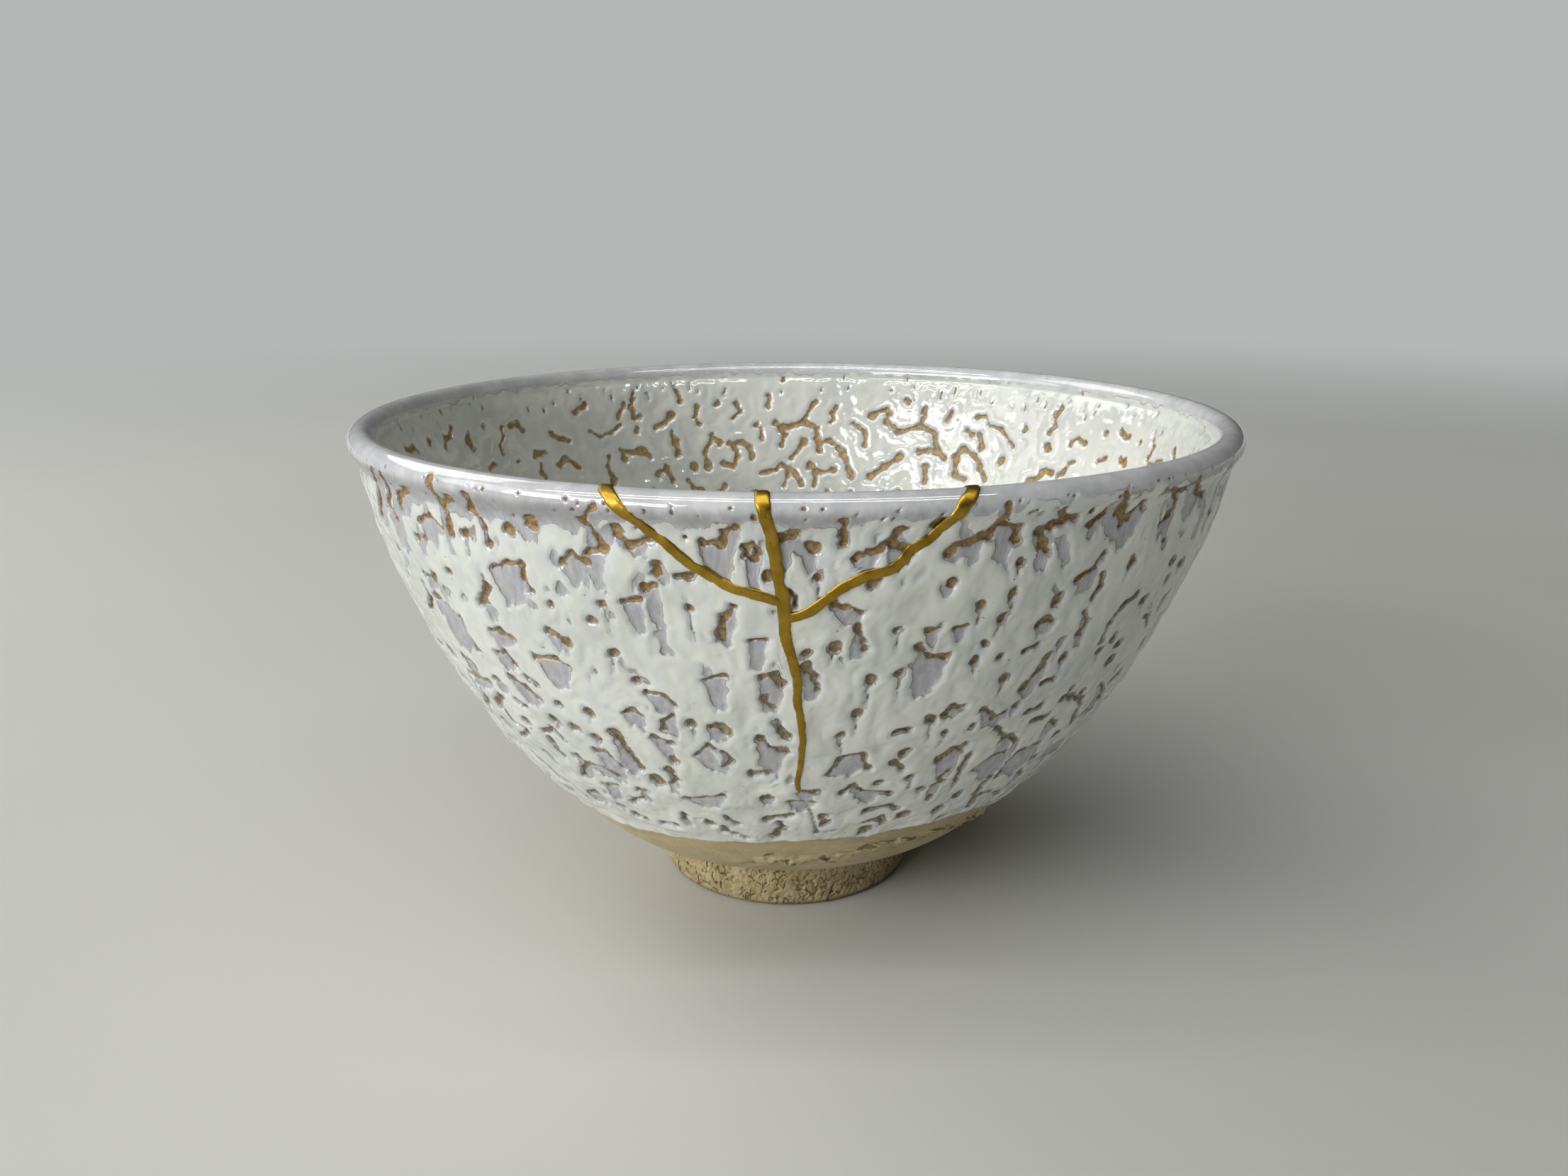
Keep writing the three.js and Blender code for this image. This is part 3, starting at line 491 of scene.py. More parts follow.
def relief(phi, t, base):
    """Height of the glaze over the turned profile, and its fields."""
    shape = phi.shape
    phi, t, base = phi.ravel(), t.ravel(), base.reshape(-1, 3)
    brown, thin, band = fields(phi, t, base)
    z = base[:, 2]
    outside = (t < T_TOP)
    wall = smooth(-0.3, 2.2, band)                      # 0 in the thin band
    lowz = smooth(50, 30, z)
    puff = 0.36 * noise(base / 6.6, 11) + (0.12 + 0.34 * lowz) * noise(base / np.array([3.7, 3.7, 3.1]), 12)
    drips = 0.14 * noise(base / np.array([2.3, 2.3, 11.0]), 13) * smooth(66, 58, z) * smooth(30, 44, z)
    fine = 0.035 * noise(base / 1.1, 14)
    on_lip = smooth(69.0, 70.6, z)
    h = (puff + np.where(outside, drips, 0)) * (0.15 + 0.85 * wall) * (1 - 0.85 * on_lip) + fine * (1 - 0.9 * on_lip)
    h = h + 0.17 * np.exp(-((thin - 0.75) / 0.85) ** 2) * smooth(-0.1, 0.4, thin) * wall
    deep = np.where(outside, 1.0, 0.5)
    h = h - (0.03 + 0.17 * wall) * deep * smooth(0.12, -0.30, thin)
    h = h - 0.34 * deep * smooth(0.10, -0.24, brown)
    floor_calm = smooth(14.0, 19.0, z)
    h = np.where(outside, h, h * (0.35 + 0.65 * floor_calm))
    return h.reshape(shape), brown.reshape(shape), thin.reshape(shape), band.reshape(shape)


# ------------------------------------------------------------ mesh builders
def make_object(name, verts, quads, normals=None, attrs=None, uv=None, smooth_faces=True):
    me = bpy.data.meshes.new(name)
    quads = np.asarray(quads, np.int64)
    tri = (quads[:, 2] == quads[:, 3]) | (quads[:, 0] == quads[:, 3])
    q, s = quads[~tri], quads[tri][:, :3]
    me.vertices.add(len(verts))
    me.vertices.foreach_set("co", (np.asarray(verts) * 0.001).astype(np.float32).ravel())
    loops = np.concatenate([q.ravel(), s.ravel()]).astype(np.int32)
    me.loops.add(len(loops))
    me.loops.foreach_set("vertex_index", loops)
    starts = np.concatenate([np.arange(len(q)) * 4, len(q) * 4 + np.arange(len(s)) * 3]).astype(np.int32)
    me.polygons.add(len(starts))
    me.polygons.foreach_set("loop_start", starts)
    me.update(calc_edges=True)
    for key, val in (attrs or {}).items():
        a = me.attributes.new(key, "FLOAT", "POINT")
        a.data.foreach_set("value", np.asarray(val, np.float32).ravel())
    if uv is not None:
        layer = me.uv_layers.new(name="OFBake")
        layer.data.foreach_set("uv", np.asarray(uv, np.float32)[loops].ravel())
    me.polygons.foreach_set("use_smooth", np.full(len(starts), smooth_faces))
    if me.validate(verbose=False):
        print("mesh needed mending:", name)
    if normals is not None:
        me.normals_split_custom_set_from_vertices(np.asarray(normals, float).reshape(-1, 3))
    ob = bpy.data.objects.new(name, me)
    bpy.context.scene.collection.objects.link(ob)
    return ob


def grid_quads(rows, cols, closed, start=0):
    j = np.arange(rows - 1)[:, None]
    c = np.arange(cols if closed else cols - 1)[None, :]
    n = (c + 1) % cols
    return np.stack([start + j * cols + c, start + j * cols + n, start + (j + 1) * cols + n, start + (j + 1) * cols + c], -1).reshape(-1, 4)


def grid_normals(v, closed):
    if closed:
        du = np.roll(v, -1, 1) - np.roll(v, 1, 1)
    else:
        du = np.gradient(v, axis=1)
    n = np.cross(du, np.gradient(v, axis=0))
    return n / np.maximum(np.linalg.norm(n, axis=-1), 1e-12)[..., None]


def columns(count, centre, half, dense):
    """Angles all round, closer together within half degrees of the centre."""
    a = np.linspace(-180, 180, 7201)
    w = 1 + (dense - 1) * smooth(half + 12, half - 6, np.abs((a - centre + 180) % 360 - 180))
    c = np.r_[0, np.cumsum(0.5 * (w[1:] + w[:-1]))]
    return np.radians(np.interp(np.arange(count) / count * c[-1], c, a))


def path_z(path, phi, outside):
    """Height of a seam line at angle phi, on one face of the wall."""
    p = curve(path, 0.2)
    z = np.minimum(p[:, 1], 71.9)
    t = t_out(z) if outside else t_in(z)
    a = phi_of(p[:, 0], t)
    o = np.argsort(a)
    return np.interp(phi, a[o], z[o], left=99, right=99)


def notch_z(phi, outside):
    """Height of the body's edge along the two joined sherds."""
    phi = wrap(phi)
    z = np.full(phi.shape, 99.0)
    split = phi_of(-1.75, t_out(60.0) if outside else t_in(60.0))
    z = np.where(phi < split, path_z(LEFT_PATH, phi, outside), path_z(RIGHT_PATH, phi, outside))
    return z - 0.12


def ring_uv(phi, k, inner=0.2, outer=0.49):
    """A ring in the unit square, for a band all the way round."""
    rho = inner + (outer - inner) * k
    return np.stack([0.5 + rho * np.sin(phi), 0.5 + rho * np.cos(phi)], -1)


def skin(name, phi, t_rows, depth, uv_inner=0.2, uv_outer=0.49, lower_edge=None):
    """A closed band of glaze: its face, and a hidden back within the wall.
    t_rows is (rows, columns); the first and last rows are only for normals."""
    a = np.broadcast_to(phi, t_rows.shape)
    base = place(WALL, a, t_rows)
    h, brown, thin, band = relief(a, t_rows, base)
    if lower_edge is not None:
        up = t_rows - lower_edge[None, :]
        roll = 1.15
        k = np.clip(up / roll, 0, 1)
        h = (h + 0.22 * np.exp(-((up - 1.5) / 1.1) ** 2)) * smooth(0, 1.6, up) - 0.95 * (1 - np.sqrt(np.clip(1 - (1 - k) ** 2, 0, 1)))
    v = place(WALL, a, t_rows, h)
    n = grid_normals(v, True)[1:-1]
    v, a, t, brown, thin, band = v[1:-1], a[1:-1], t_rows[1:-1], brown[1:-1], thin[1:-1], band[1:-1]
    rows, cols = a.shape
    hidden = []
    steps = (0.0, 0.5, 1.0)
    for s in steps:
        tt = t[-1] + (t[0] - t[-1]) * s
        hidden.append(place(WALL, a[0], tt, np.full(cols, -depth) if lower_edge is None or s < 1 else np.full(cols, -1.05)))
    hv = np.stack(hidden)
    verts = np.concatenate([v.reshape(-1, 3), hv.reshape(-1, 3)])
    q = grid_quads(rows + len(steps), cols, True)
    c = np.arange(cols)
    cn = (c + 1) % cols
    last = (rows + len(steps) - 1) * cols
    q = np.concatenate([q, np.stack([last + c, last + cn, cn, c], -1)])
    normals = np.concatenate([n.reshape(-1, 3), -np.repeat(n[rows // 2][None], len(steps), 0).reshape(-1, 3)])
    kk = np.linspace(0, 1, rows)[:, None] + 0 * a
    hk = np.stack([np.full(cols, 1.012), np.full(cols, 1.02), np.full(cols, -0.012)])
    uv = ring_uv(np.concatenate([a.ravel(), np.tile(a[0], len(steps))]), np.concatenate([kk.ravel(), hk.ravel()]), uv_inner, uv_outer)
    pad = np.full(len(steps) * cols, 2.0)
    attrs = {"bare": np.r_[brown.ravel(), pad], "thin": np.r_[thin.ravel(), pad], "band": np.r_[band.ravel(), pad]}
    return make_object(name, verts, q, normals, attrs, uv)


def rows_between(t0, t1, count):
    """count rows from t0 to t1 for each column, plus one beyond at each end."""
    s = np.linspace(0, 1, count)
    s = np.r_[-s[1], s, 1 + s[1]][:, None]
    return t0[None, :] + (t1 - t0)[None, :] * s


PHI = columns(900, 0, 58, 1.75)
ones = np.ones(len(PHI))
t_edge = t_out(edge_z(PHI))
lower = skin("glaze_wall_lower", PHI, rows_between(t_edge, t_out(SPLIT_Z) * ones, 100), 1.9, lower_edge=t_edge)
top = t_out(np.minimum(BAND_Z, notch_z(PHI, True)))
upper = skin("glaze_wall_upper", PHI, rows_between(t_out(SPLIT_Z) * ones, top, 92), 1.9)

# ---- inside
PHI_IN = columns(640, 180, 62, 1.7)
i_ones = np.ones(len(PHI_IN))
t_start = t_in(np.minimum(BAND_IN_Z, notch_z(PHI_IN, False)))
n1, n2 = 74, 62
s1 = np.linspace(0, 1, n1)
t_mid = t_in(47.0)
part1 = t_start[None] + (t_mid - t_start)[None] * s1[:, None]
s2 = np.linspace(0, 1, n2 + 1)[1:] ** 1.15
part2 = t_mid + (WALL.length - 0.35 - t_mid) * s2[:, None] * i_ones[None]
t_rows = np.concatenate([(2 * part1[0] - part1[1])[None], part1, part2])
a = np.broadcast_to(PHI_IN, t_rows.shape)
base = place(WALL, a, t_rows)
h, brown, thin, band = relief(a, t_rows, base)
v = place(WALL, a, t_rows, h)
n = grid_normals(v, True)[1:]
v, a, t_rows, brown, thin, band = v[1:], a[1:], t_rows[1:], brown[1:], thin[1:], band[1:]
rows, cols = a.shape
pole = v[-1].mean(0)
back_t = [t_rows[0], 0.5 * (t_rows[0] + t_mid)] + [tt * i_ones for tt in np.linspace(t_mid, WALL.length - 3.0, 9)]
hidden = np.stack([place(WALL, a[0], tt, np.full(cols, -1.7)) for tt in back_t])
verts = np.concatenate([v.reshape(-1, 3), pole[None], hidden.reshape(-1, 3), hidden[-1].mean(0)[None]])
q = grid_quads(rows, cols, True)
c = np.arange(cols)
cn = (c + 1) % cols
end = (rows - 1) * cols
P0 = rows * cols
H0 = P0 + 1
HP = H0 + len(back_t) * cols
hq = grid_quads(len(back_t), cols, True, H0)[:, ::-1]
q = np.concatenate([q, np.stack([end + c, end + cn, np.full(cols, P0), np.full(cols, P0)], -1),
                    np.stack([H0 + c, H0 + cn, cn, c], -1), hq,
                    np.stack([HP - cols + cn, HP - cols + c, np.full(cols, HP), np.full(cols, HP)], -1)])
up = np.array([0, 0, 1.0])
n_hidden = -np.repeat(n[rows // 2][None], len(back_t), 0)
normals = np.concatenate([n.reshape(-1, 3), up[None], n_hidden.reshape(-1, 3), -up[None]])
kk = (t_rows - t_start[None]) / (WALL.length - t_start[None])
rho = 0.485 * (1 - kk)
uv = np.stack([0.5 + rho * np.sin(a), 0.5 + rho * np.cos(a)], -1).reshape(-1, 2)
hr = np.linspace(0.488, 0.4995, len(back_t))[:, None] + 0 * hidden[..., 0]
huv = np.stack([0.5 + hr * np.sin(PHI_IN), 0.5 + hr * np.cos(PHI_IN)], -1).reshape(-1, 2)
uv = np.concatenate([uv, [[0.5, 0.5]], huv, [[0.995, 0.995]]])
pad = np.full(len(back_t) * cols + 1, 2.0)
attrs = {k: np.r_[x.ravel(), 2.0, pad] for k, x in (("bare", brown), ("thin", thin), ("band", band))}
inside = make_object("glaze_inside", verts, q, normals, attrs, uv)


# ---- the lip, open where the two sherds sit
def lip_rows(count):
    return np.linspace(float(t_out(BAND_Z)), float(t_in(BAND_IN_Z)), count)


def x_at(path, z):
    p = np.array(sorted(path, key=lambda q: q[1]))
    return np.interp(z, p[:, 1], p[:, 0])


LIP_N = 54
tl = lip_rows(LIP_N)
tl = np.r_[2 * tl[0] - tl[1], tl, 2 * tl[-1] - tl[-2]]
zl = WALL.at(tl)[1]
aL = phi_of(x_at(LEFT_PATH, zl) - 0.12, tl)
aR = phi_of(x_at(RIGHT_PATH, zl) + 0.12, tl)
aL0, aR0 = aL[1], aR[1]
keep = PHI[(PHI < aL0 - 0.002) | (PHI > aR0 + 0.002)]
order = np.sort(np.mod(keep - aR0, 2 * math.pi)) + aR0
order = np.r_[aR0, order, aL0 + 2 * math.pi]
reach = math.radians(16)
kR = np.clip(1 - (order - aR0) / reach, 0, 1) ** 2
kL = np.clip(1 - (aL0 + 2 * math.pi - order) / reach, 0, 1) ** 2
aa = order[None] + (aR - aR0)[:, None] * kR[None] + (aL - aL0)[:, None] * kL[None]
tt = np.broadcast_to(tl[:, None], aa.shape)
base = place(WALL, aa, tt)
h, brown, thin, band = relief(aa, tt, base)
v = place(WALL, aa, tt, h)
n = grid_normals(v, False)[1:-1]
v, aa, brown, thin, band = v[1:-1], aa[1:-1], brown[1:-1], thin[1:-1], band[1:-1]
rows, cols = aa.shape
q = grid_quads(rows, cols, False)
c = np.arange(cols - 1)
end = (rows - 1) * cols
closing = np.stack([end + c, end + c + 1, c + 1, c], -1)
j = np.arange(rows // 2 - 1)
m = rows - 1 - j
capA = np.stack([j * cols, (j + 1) * cols, (m - 1) * cols, m * cols], -1)
e = cols - 1
capB = np.stack([j * cols + e, m * cols + e, (m - 1) * cols + e, (j + 1) * cols + e], -1)
q = np.concatenate([q, closing, capA, capB])
if rows % 2 == 0:
    mid = rows // 2 - 1
uv = ring_uv(aa, np.linspace(0, 1, rows)[:, None] + 0 * aa, 0.22, 0.49).reshape(-1, 2)
lip_ob = make_object("glaze_lip", v.reshape(-1, 3), q, n.reshape(-1, 3),
                     {"bare": brown, "thin": thin, "band": band}, uv)


# ---- the two rim sherds
def sherd(name, z0, left, right, cols=92):
    zs = np.r_[np.linspace(z0, 68.4, 46)]
    t_o = t_out(zs)
    t_i = t_in(zs)[::-1]
    t_l = np.linspace(t_o[-1], t_i[0], 32)[1:-1]
    t = np.r_[t_o, t_l, t_i]
    z = WALL.at(t)[1]
    xa, xb = left(z) + 0.12, right(z) - 0.12
    a0, a1 = phi_of(xa, t), phi_of(np.maximum(xb, xa + 0.05), t)
    s = np.linspace(0, 1, cols)
    a = a0[:, None] + (a1 - a0)[:, None] * s[None]
    tt = np.broadcast_to(t[:, None], a.shape)
    base = place(WALL, a, tt)
    h, brown, thin, band = relief(a, tt, base)
    v = place(WALL, a, tt, h)
    n = grid_normals(v, False)
    rows = len(t)
    q = grid_quads(rows, cols, False)
    c = np.arange(cols - 1)
    end = (rows - 1) * cols
    foot = np.stack([end + c, end + c + 1, c + 1, c], -1)
    j = np.arange(rows // 2 - 1)
    m = rows - 1 - j
    e = cols - 1
    capA = np.stack([j * cols, (j + 1) * cols, (m - 1) * cols, m * cols], -1)
    capB = np.stack([j * cols + e, m * cols + e, (m - 1) * cols + e, (j + 1) * cols + e], -1)
    q = np.concatenate([q, foot, capA, capB])
    uv = np.stack([0.02 + 0.96 * s[None] + 0 * a, 0.02 + 0.96 * np.linspace(0, 1, rows)[:, None] + 0 * a], -1).reshape(-1, 2)
    return make_object(name, v.reshape(-1, 3), q, n.reshape(-1, 3), {"bare": brown, "thin": thin, "band": band}, uv)


left_ob = sherd("sherd_left_glaze", 60.1, lambda z: x_at(LEFT_PATH, z), lambda z: x_at(MIDDLE_PATH, z))
right_ob = sherd("sherd_right_glaze", 58.0, lambda z: x_at(MIDDLE_PATH, z), lambda z: x_at(RIGHT_PATH, z))


# ---- the gold
def bead(path, width, seed):
    """One raised line of gold: up the outside, over the lip, down the inside."""
    p = curve(path, 0.1)
    if p[0, 1] > p[-1, 1]:
        p = p[::-1]
    p = p[p[:, 1] <= 71.98]
    x, z = p[:, 0], p[:, 1]
    t = np.r_[t_out(z), t_in(z)[::-1]]
    x = np.r_[x, x[::-1]]
    gap = np.nonzero(np.diff(t) > 0.3)[0]
    for g in gap[::-1]:                       # fill the jump over the top of the lip
        k = np.linspace(0, 1, int((t[g + 1] - t[g]) / 0.1) + 2)[1:-1]
        t = np.r_[t[:g + 1], t[g] + (t[g + 1] - t[g]) * k, t[g + 1:]]
        x = np.r_[x[:g + 1], x[g] + (x[g + 1] - x[g]) * k, x[g + 1:]]
    c = place(WALL, phi_of(x, t), t)
    d = np.r_[0, np.cumsum(np.linalg.norm(np.diff(c, axis=0), axis=1))]
    s = np.linspace(0, d[-1], int(d[-1] / 0.16) + 1)
    t, x = np.interp(s, d, t), np.interp(s, d, x)
    a = phi_of(x, t)
    k = np.hanning(9)
    k /= k.sum()
    a = np.convolve(np.pad(a, 4, mode="edge"), k, "valid")
    base = place(WALL, a, t)
    # directions along and across the line, on the surface
    r, z, nr, nz = WALL.at(t)
    nrm = np.stack([nr * np.sin(a), -nr * np.cos(a), nz], -1)
    along = np.gradient(base, axis=0)
    across = np.cross(along, nrm)
    across /= np.linalg.norm(across, axis=1)[:, None]
    one = np.stack([s / 2.4, 0 * s + seed, 0 * s], -1)
    w = width(z, t) * (1 + 0.16 * noise(one, seed) + 0.16 * noise(one * 2.9, seed + 1) + 0.10 * noise(one * 7.0, seed + 5))
    side = 0.16 * noise(one * 1.7, seed + 2)
    end_fade = np.sqrt(np.clip(np.minimum(s, s[-1] - s) / 0.8, 0.02, 1))
    w = w * end_fade
    prof = np.array([-1.0, -0.93, -0.75, -0.45, 0.0, 0.45, 0.75, 0.93, 1.0])
    lift = np.array([-0.20, 0.03, 0.12, 0.15, 0.16, 0.15, 0.12, 0.03, -0.20])
    lump = 1 + 0.5 * noise(one * 1.3, seed + 3) + 0.35 * noise(one * 4.1, seed + 4)
    under = [relief(phi_of(x + dx, t), t, place(WALL, phi_of(x + dx, t), t))[0] for dx in (-0.45, 0.0, 0.45)]
    k = np.hanning(13)
    k /= k.sum()
    h0 = np.convolve(np.pad(0.5 * np.max(under, 0) + 0.5 * np.mean(under, 0), 6, mode="edge"), k, "valid") + 0.05
    rings = []
    for kx, ky in zip(prof, lift):
        hh = h0 + (ky * lump if ky > 0 else ky)
        rings.append(base + across * (side + kx * w * 0.5)[:, None] + nrm * hh[:, None])
    rings.append(base + across * (side + 0.6 * w * 0.5)[:, None] - nrm * 0.9)
    rings.append(base + across * (side - 0.6 * w * 0.5)[:, None] - nrm * 0.9)
    v = np.stack(rings, 1)                    # along, around
    rows, cols = v.shape[:2]
    q = grid_quads(rows, cols, True)
    return v.reshape(-1, 3), q, rows, cols, s


def seam():
    side = lambda z, t: np.interp(z, [58, 66, 69, 71], [1.24, 1.24, 1.38, 1.5])
    middle = lambda z, t: np.interp(z, [32.7, 36, 44, 52, 57, 59.5, 62, 69, 71], [0.55, 0.72, 0.92, 1.12, 1.42, 1.5, 1.34, 1.4, 1.65])
    verts, quads, start, uvs = [], [], 0, []
    for k, (path, width) in enumerate(((LEFT_PATH, side), (MIDDLE_PATH, middle), (RIGHT_PATH, side))):
        v, q, rows, cols, s = bead(path, width, 31 + 7 * k)
        verts.append(v)
        quads.append(q + start)
        first = np.arange(cols)
        ends = []
        for f, flip in ((first, True), ((rows - 1) * cols + first, False)):
            for i in range(1, cols - 1):
                tri = [f[0], f[i], f[i + 1], f[i + 1]]
                ends.append([tri[0], tri[2], tri[1], tri[1]] if flip else tri)
        quads.append(np.array(ends) + start)
        u = 0.02 + 0.96 * s / s[-1]
        vv = 0.02 + 0.31 * (k + np.linspace(0, 0.92, cols))
        uvs.append(np.stack(np.broadcast_arrays(u[:, None], vv[None]), -1).reshape(-1, 2))
        start += len(v)
    return make_object("gold_line", np.concatenate(verts), np.concatenate(quads), None, {}, np.concatenate(uvs))


gold_ob = seam()

# ---- bare clay: the band below the glaze, the foot ring and the underside
T_SHOULDER = FOOT.t[np.argmin(np.hypot(FOOT.r - 20.3, FOOT.z - 8.6))]
T_RIM = FOOT.t[np.argmin(np.hypot(FOOT.r - 19.2, FOOT.z - 0.5))]
PHI_F = columns(440, 0, 70, 1.5)
t_top = np.interp(edge_z(PHI_F) + 1.4, FOOT.z[FOOT.t > T_SHOULDER], FOOT.t[FOOT.t > T_SHOULDER])
t_under = np.interp(np.linspace(0, 1, 30), [0, 1], [0.4, T_RIM - 6.5])
t_ring = np.linspace(T_RIM - 6.3, T_RIM, 16)
t_side = np.linspace(T_RIM, T_SHOULDER, 34)[1:]
fixed = np.r_[t_under, t_ring, t_side]
s = np.linspace(0, 1, 56)[1:]
rows_t = np.concatenate([np.repeat(fixed[:, None], len(PHI_F), 1), T_SHOULDER + (t_top - T_SHOULDER)[None] * s[:, None]])
a = np.broadcast_to(PHI_F, rows_t.shape)
base = place(FOOT, a, rows_t)
z = base[..., 2]
deg = np.degrees(wrap(a))
above = smooth(T_SHOULDER - 0.3, T_SHOULDER + 0.8, rows_t)
on_side = smooth(T_RIM + 0.1, T_RIM + 0.9, rows_t) * (1 - above)
under = smooth(T_RIM - 5.0, T_RIM - 6.2, rows_t)
# turning lines on the band, and a torn ridge above the shoulder on the right
lines = 0.05 * noise(np.stack([0 * z, 0 * z, rows_t / 0.7], -1) + base * 0.02, 21) + 0.10 * noise(base / np.array([9, 9, 2.2]), 22)
right = smooth(-16, -2, deg) * smooth(120, 70, deg)
ridge_z = np.interp(deg, [-16, -9, -4, 4, 12, 20, 28, 34, 42, 60, 120], [12.6, 14.2, 15.7, 15.0, 15.9, 17.6, 17.9, 18.0, 17.2, 15.4, 13.0])
ridge = np.interp(ridge_z, FOOT.z[FOOT.t > T_SHOULDER], FOOT.t[FOOT.t > T_SHOULDER])
ridge = ridge + 1.5 * noise(base / np.array([3.0, 3.0, 30.0]), 23) + 0.8 * noise(base / np.array([0.9, 0.9, 20.0]), 24)
off = rows_t - ridge
near_ridge = smooth(3.0, 0.6, np.abs(off))
flake = noise(base / np.array([2.2, 2.2, 0.75]), 25) + 0.6 * noise(base / np.array([0.9, 0.9, 0.4]), 35)
plates = smooth(0.02, 0.16, flake) - smooth(-0.10, -0.26, flake)
gash = np.exp(-((off + 0.2 + 0.5 * noise(base / 1.3, 38)) / 0.28) ** 2) * smooth(-0.15, 0.15, noise(base / 3.0, 39))
tear = right * (0.40 * smooth(-0.1, 0.2, off) * smooth(1.9, 0.3, off) - 0.55 * smooth(0.05, -0.2, off) * smooth(-2.6, -0.4, off) - 0.9 * gash)
crack = right * 0.34 * plates * near_ridge
chips = smooth(-0.12, 0.10, noise(base / np.array([2.4, 2.4, 2.4]), 36))
scales = -0.36 * smooth(0.085, 0.0, np.abs(noise(base / np.array([0.85, 0.85, 1.5]), 26))) * chips
scales = scales + 0.30 * noise(base / np.array([0.7, 0.7, 0.95]), 27) + 0.22 * noise(base / 0.42, 37)
grit = 0.07 * noise(base / 0.8, 28) + 0.04 * noise(base / 0.45, 29)
h = above * (lines + tear + crack + 0.3 * grit) + on_side * (scales * smooth(T_SHOULDER, T_SHOULDER - 1.5, rows_t) + grit) + under * (0.12 * noise(base / 2.5, 30) + grit)
h = h - 0.42 * smooth(6.0, 1.0, t_top[None] - rows_t)
h = np.where((rows_t > T_RIM - 5.0) & (rows_t <= T_RIM), -np.abs(grit) * 0.5, h)
v = place(FOOT, a, rows_t, h)
v[..., 2] = np.maximum(v[..., 2], 0.0)
n = grid_normals(v, True)
rows, cols = a.shape
pole = v[0].mean(0)
top_in = [(-1.3, 0.0), (-2.0, 6.0), (-2.2, 16.0)]
hid = np.stack([place(FOOT, PHI_F, t_top - dt, np.full(cols, off)) for off, dt in top_in])
hp = np.array([lean(9.0), 0.0, 8.6])
verts = np.concatenate([v.reshape(-1, 3), hid.reshape(-1, 3), pole[None], hp[None]])
q = grid_quads(rows + len(top_in), cols, True)
c = np.arange(cols)
cn = (c + 1) % cols
P0 = (rows + len(top_in)) * cols
last = P0 - cols
q = np.concatenate([q, np.stack([cn, c, np.full(cols, P0), np.full(cols, P0)], -1),
                    np.stack([last + c, last + cn, np.full(cols, P0 + 1), np.full(cols, P0 + 1)], -1)])
nn = np.concatenate([n.reshape(-1, 3), np.tile([[0, 0, 1.0]], (len(top_in) * cols, 1)), [[0, 0, -1.0]], [[0, 0, 1.0]]])
kk = (rows_t / rows_t[-1])
rho = 0.47 * kk
uv = np.stack([0.5 + rho * np.sin(a), 0.5 + rho * np.cos(a)], -1).reshape(-1, 2)
hr = np.array([0.475, 0.48, 0.485])[:, None] + 0 * hid[..., 0]
uv = np.concatenate([uv, np.stack([0.5 + hr * np.sin(PHI_F), 0.5 + hr * np.cos(PHI_F)], -1).reshape(-1, 2), [[0.5, 0.5]], [[0.995, 0.995]]])
# how deep the scale hollows and the torn hollows sink; the clay colour is darkened there as painted shade
pits = np.where(on_side > 0.3, -1.3 * scales, 0) + 0.75 * right * above * smooth(-0.25, -0.75, tear + crack)
pad = np.zeros(len(top_in) * cols + 2)
ringness = 1 - above
foot_ob = make_object("clay_foot", verts, q, nn, {"pits": np.r_[pits.ravel(), pad], "ring": np.r_[ringness.ravel(), pad],
                        "torn": np.r_[(right * above * smooth(2.6, 0.9, np.abs(off))).ravel(), pad]}, uv)


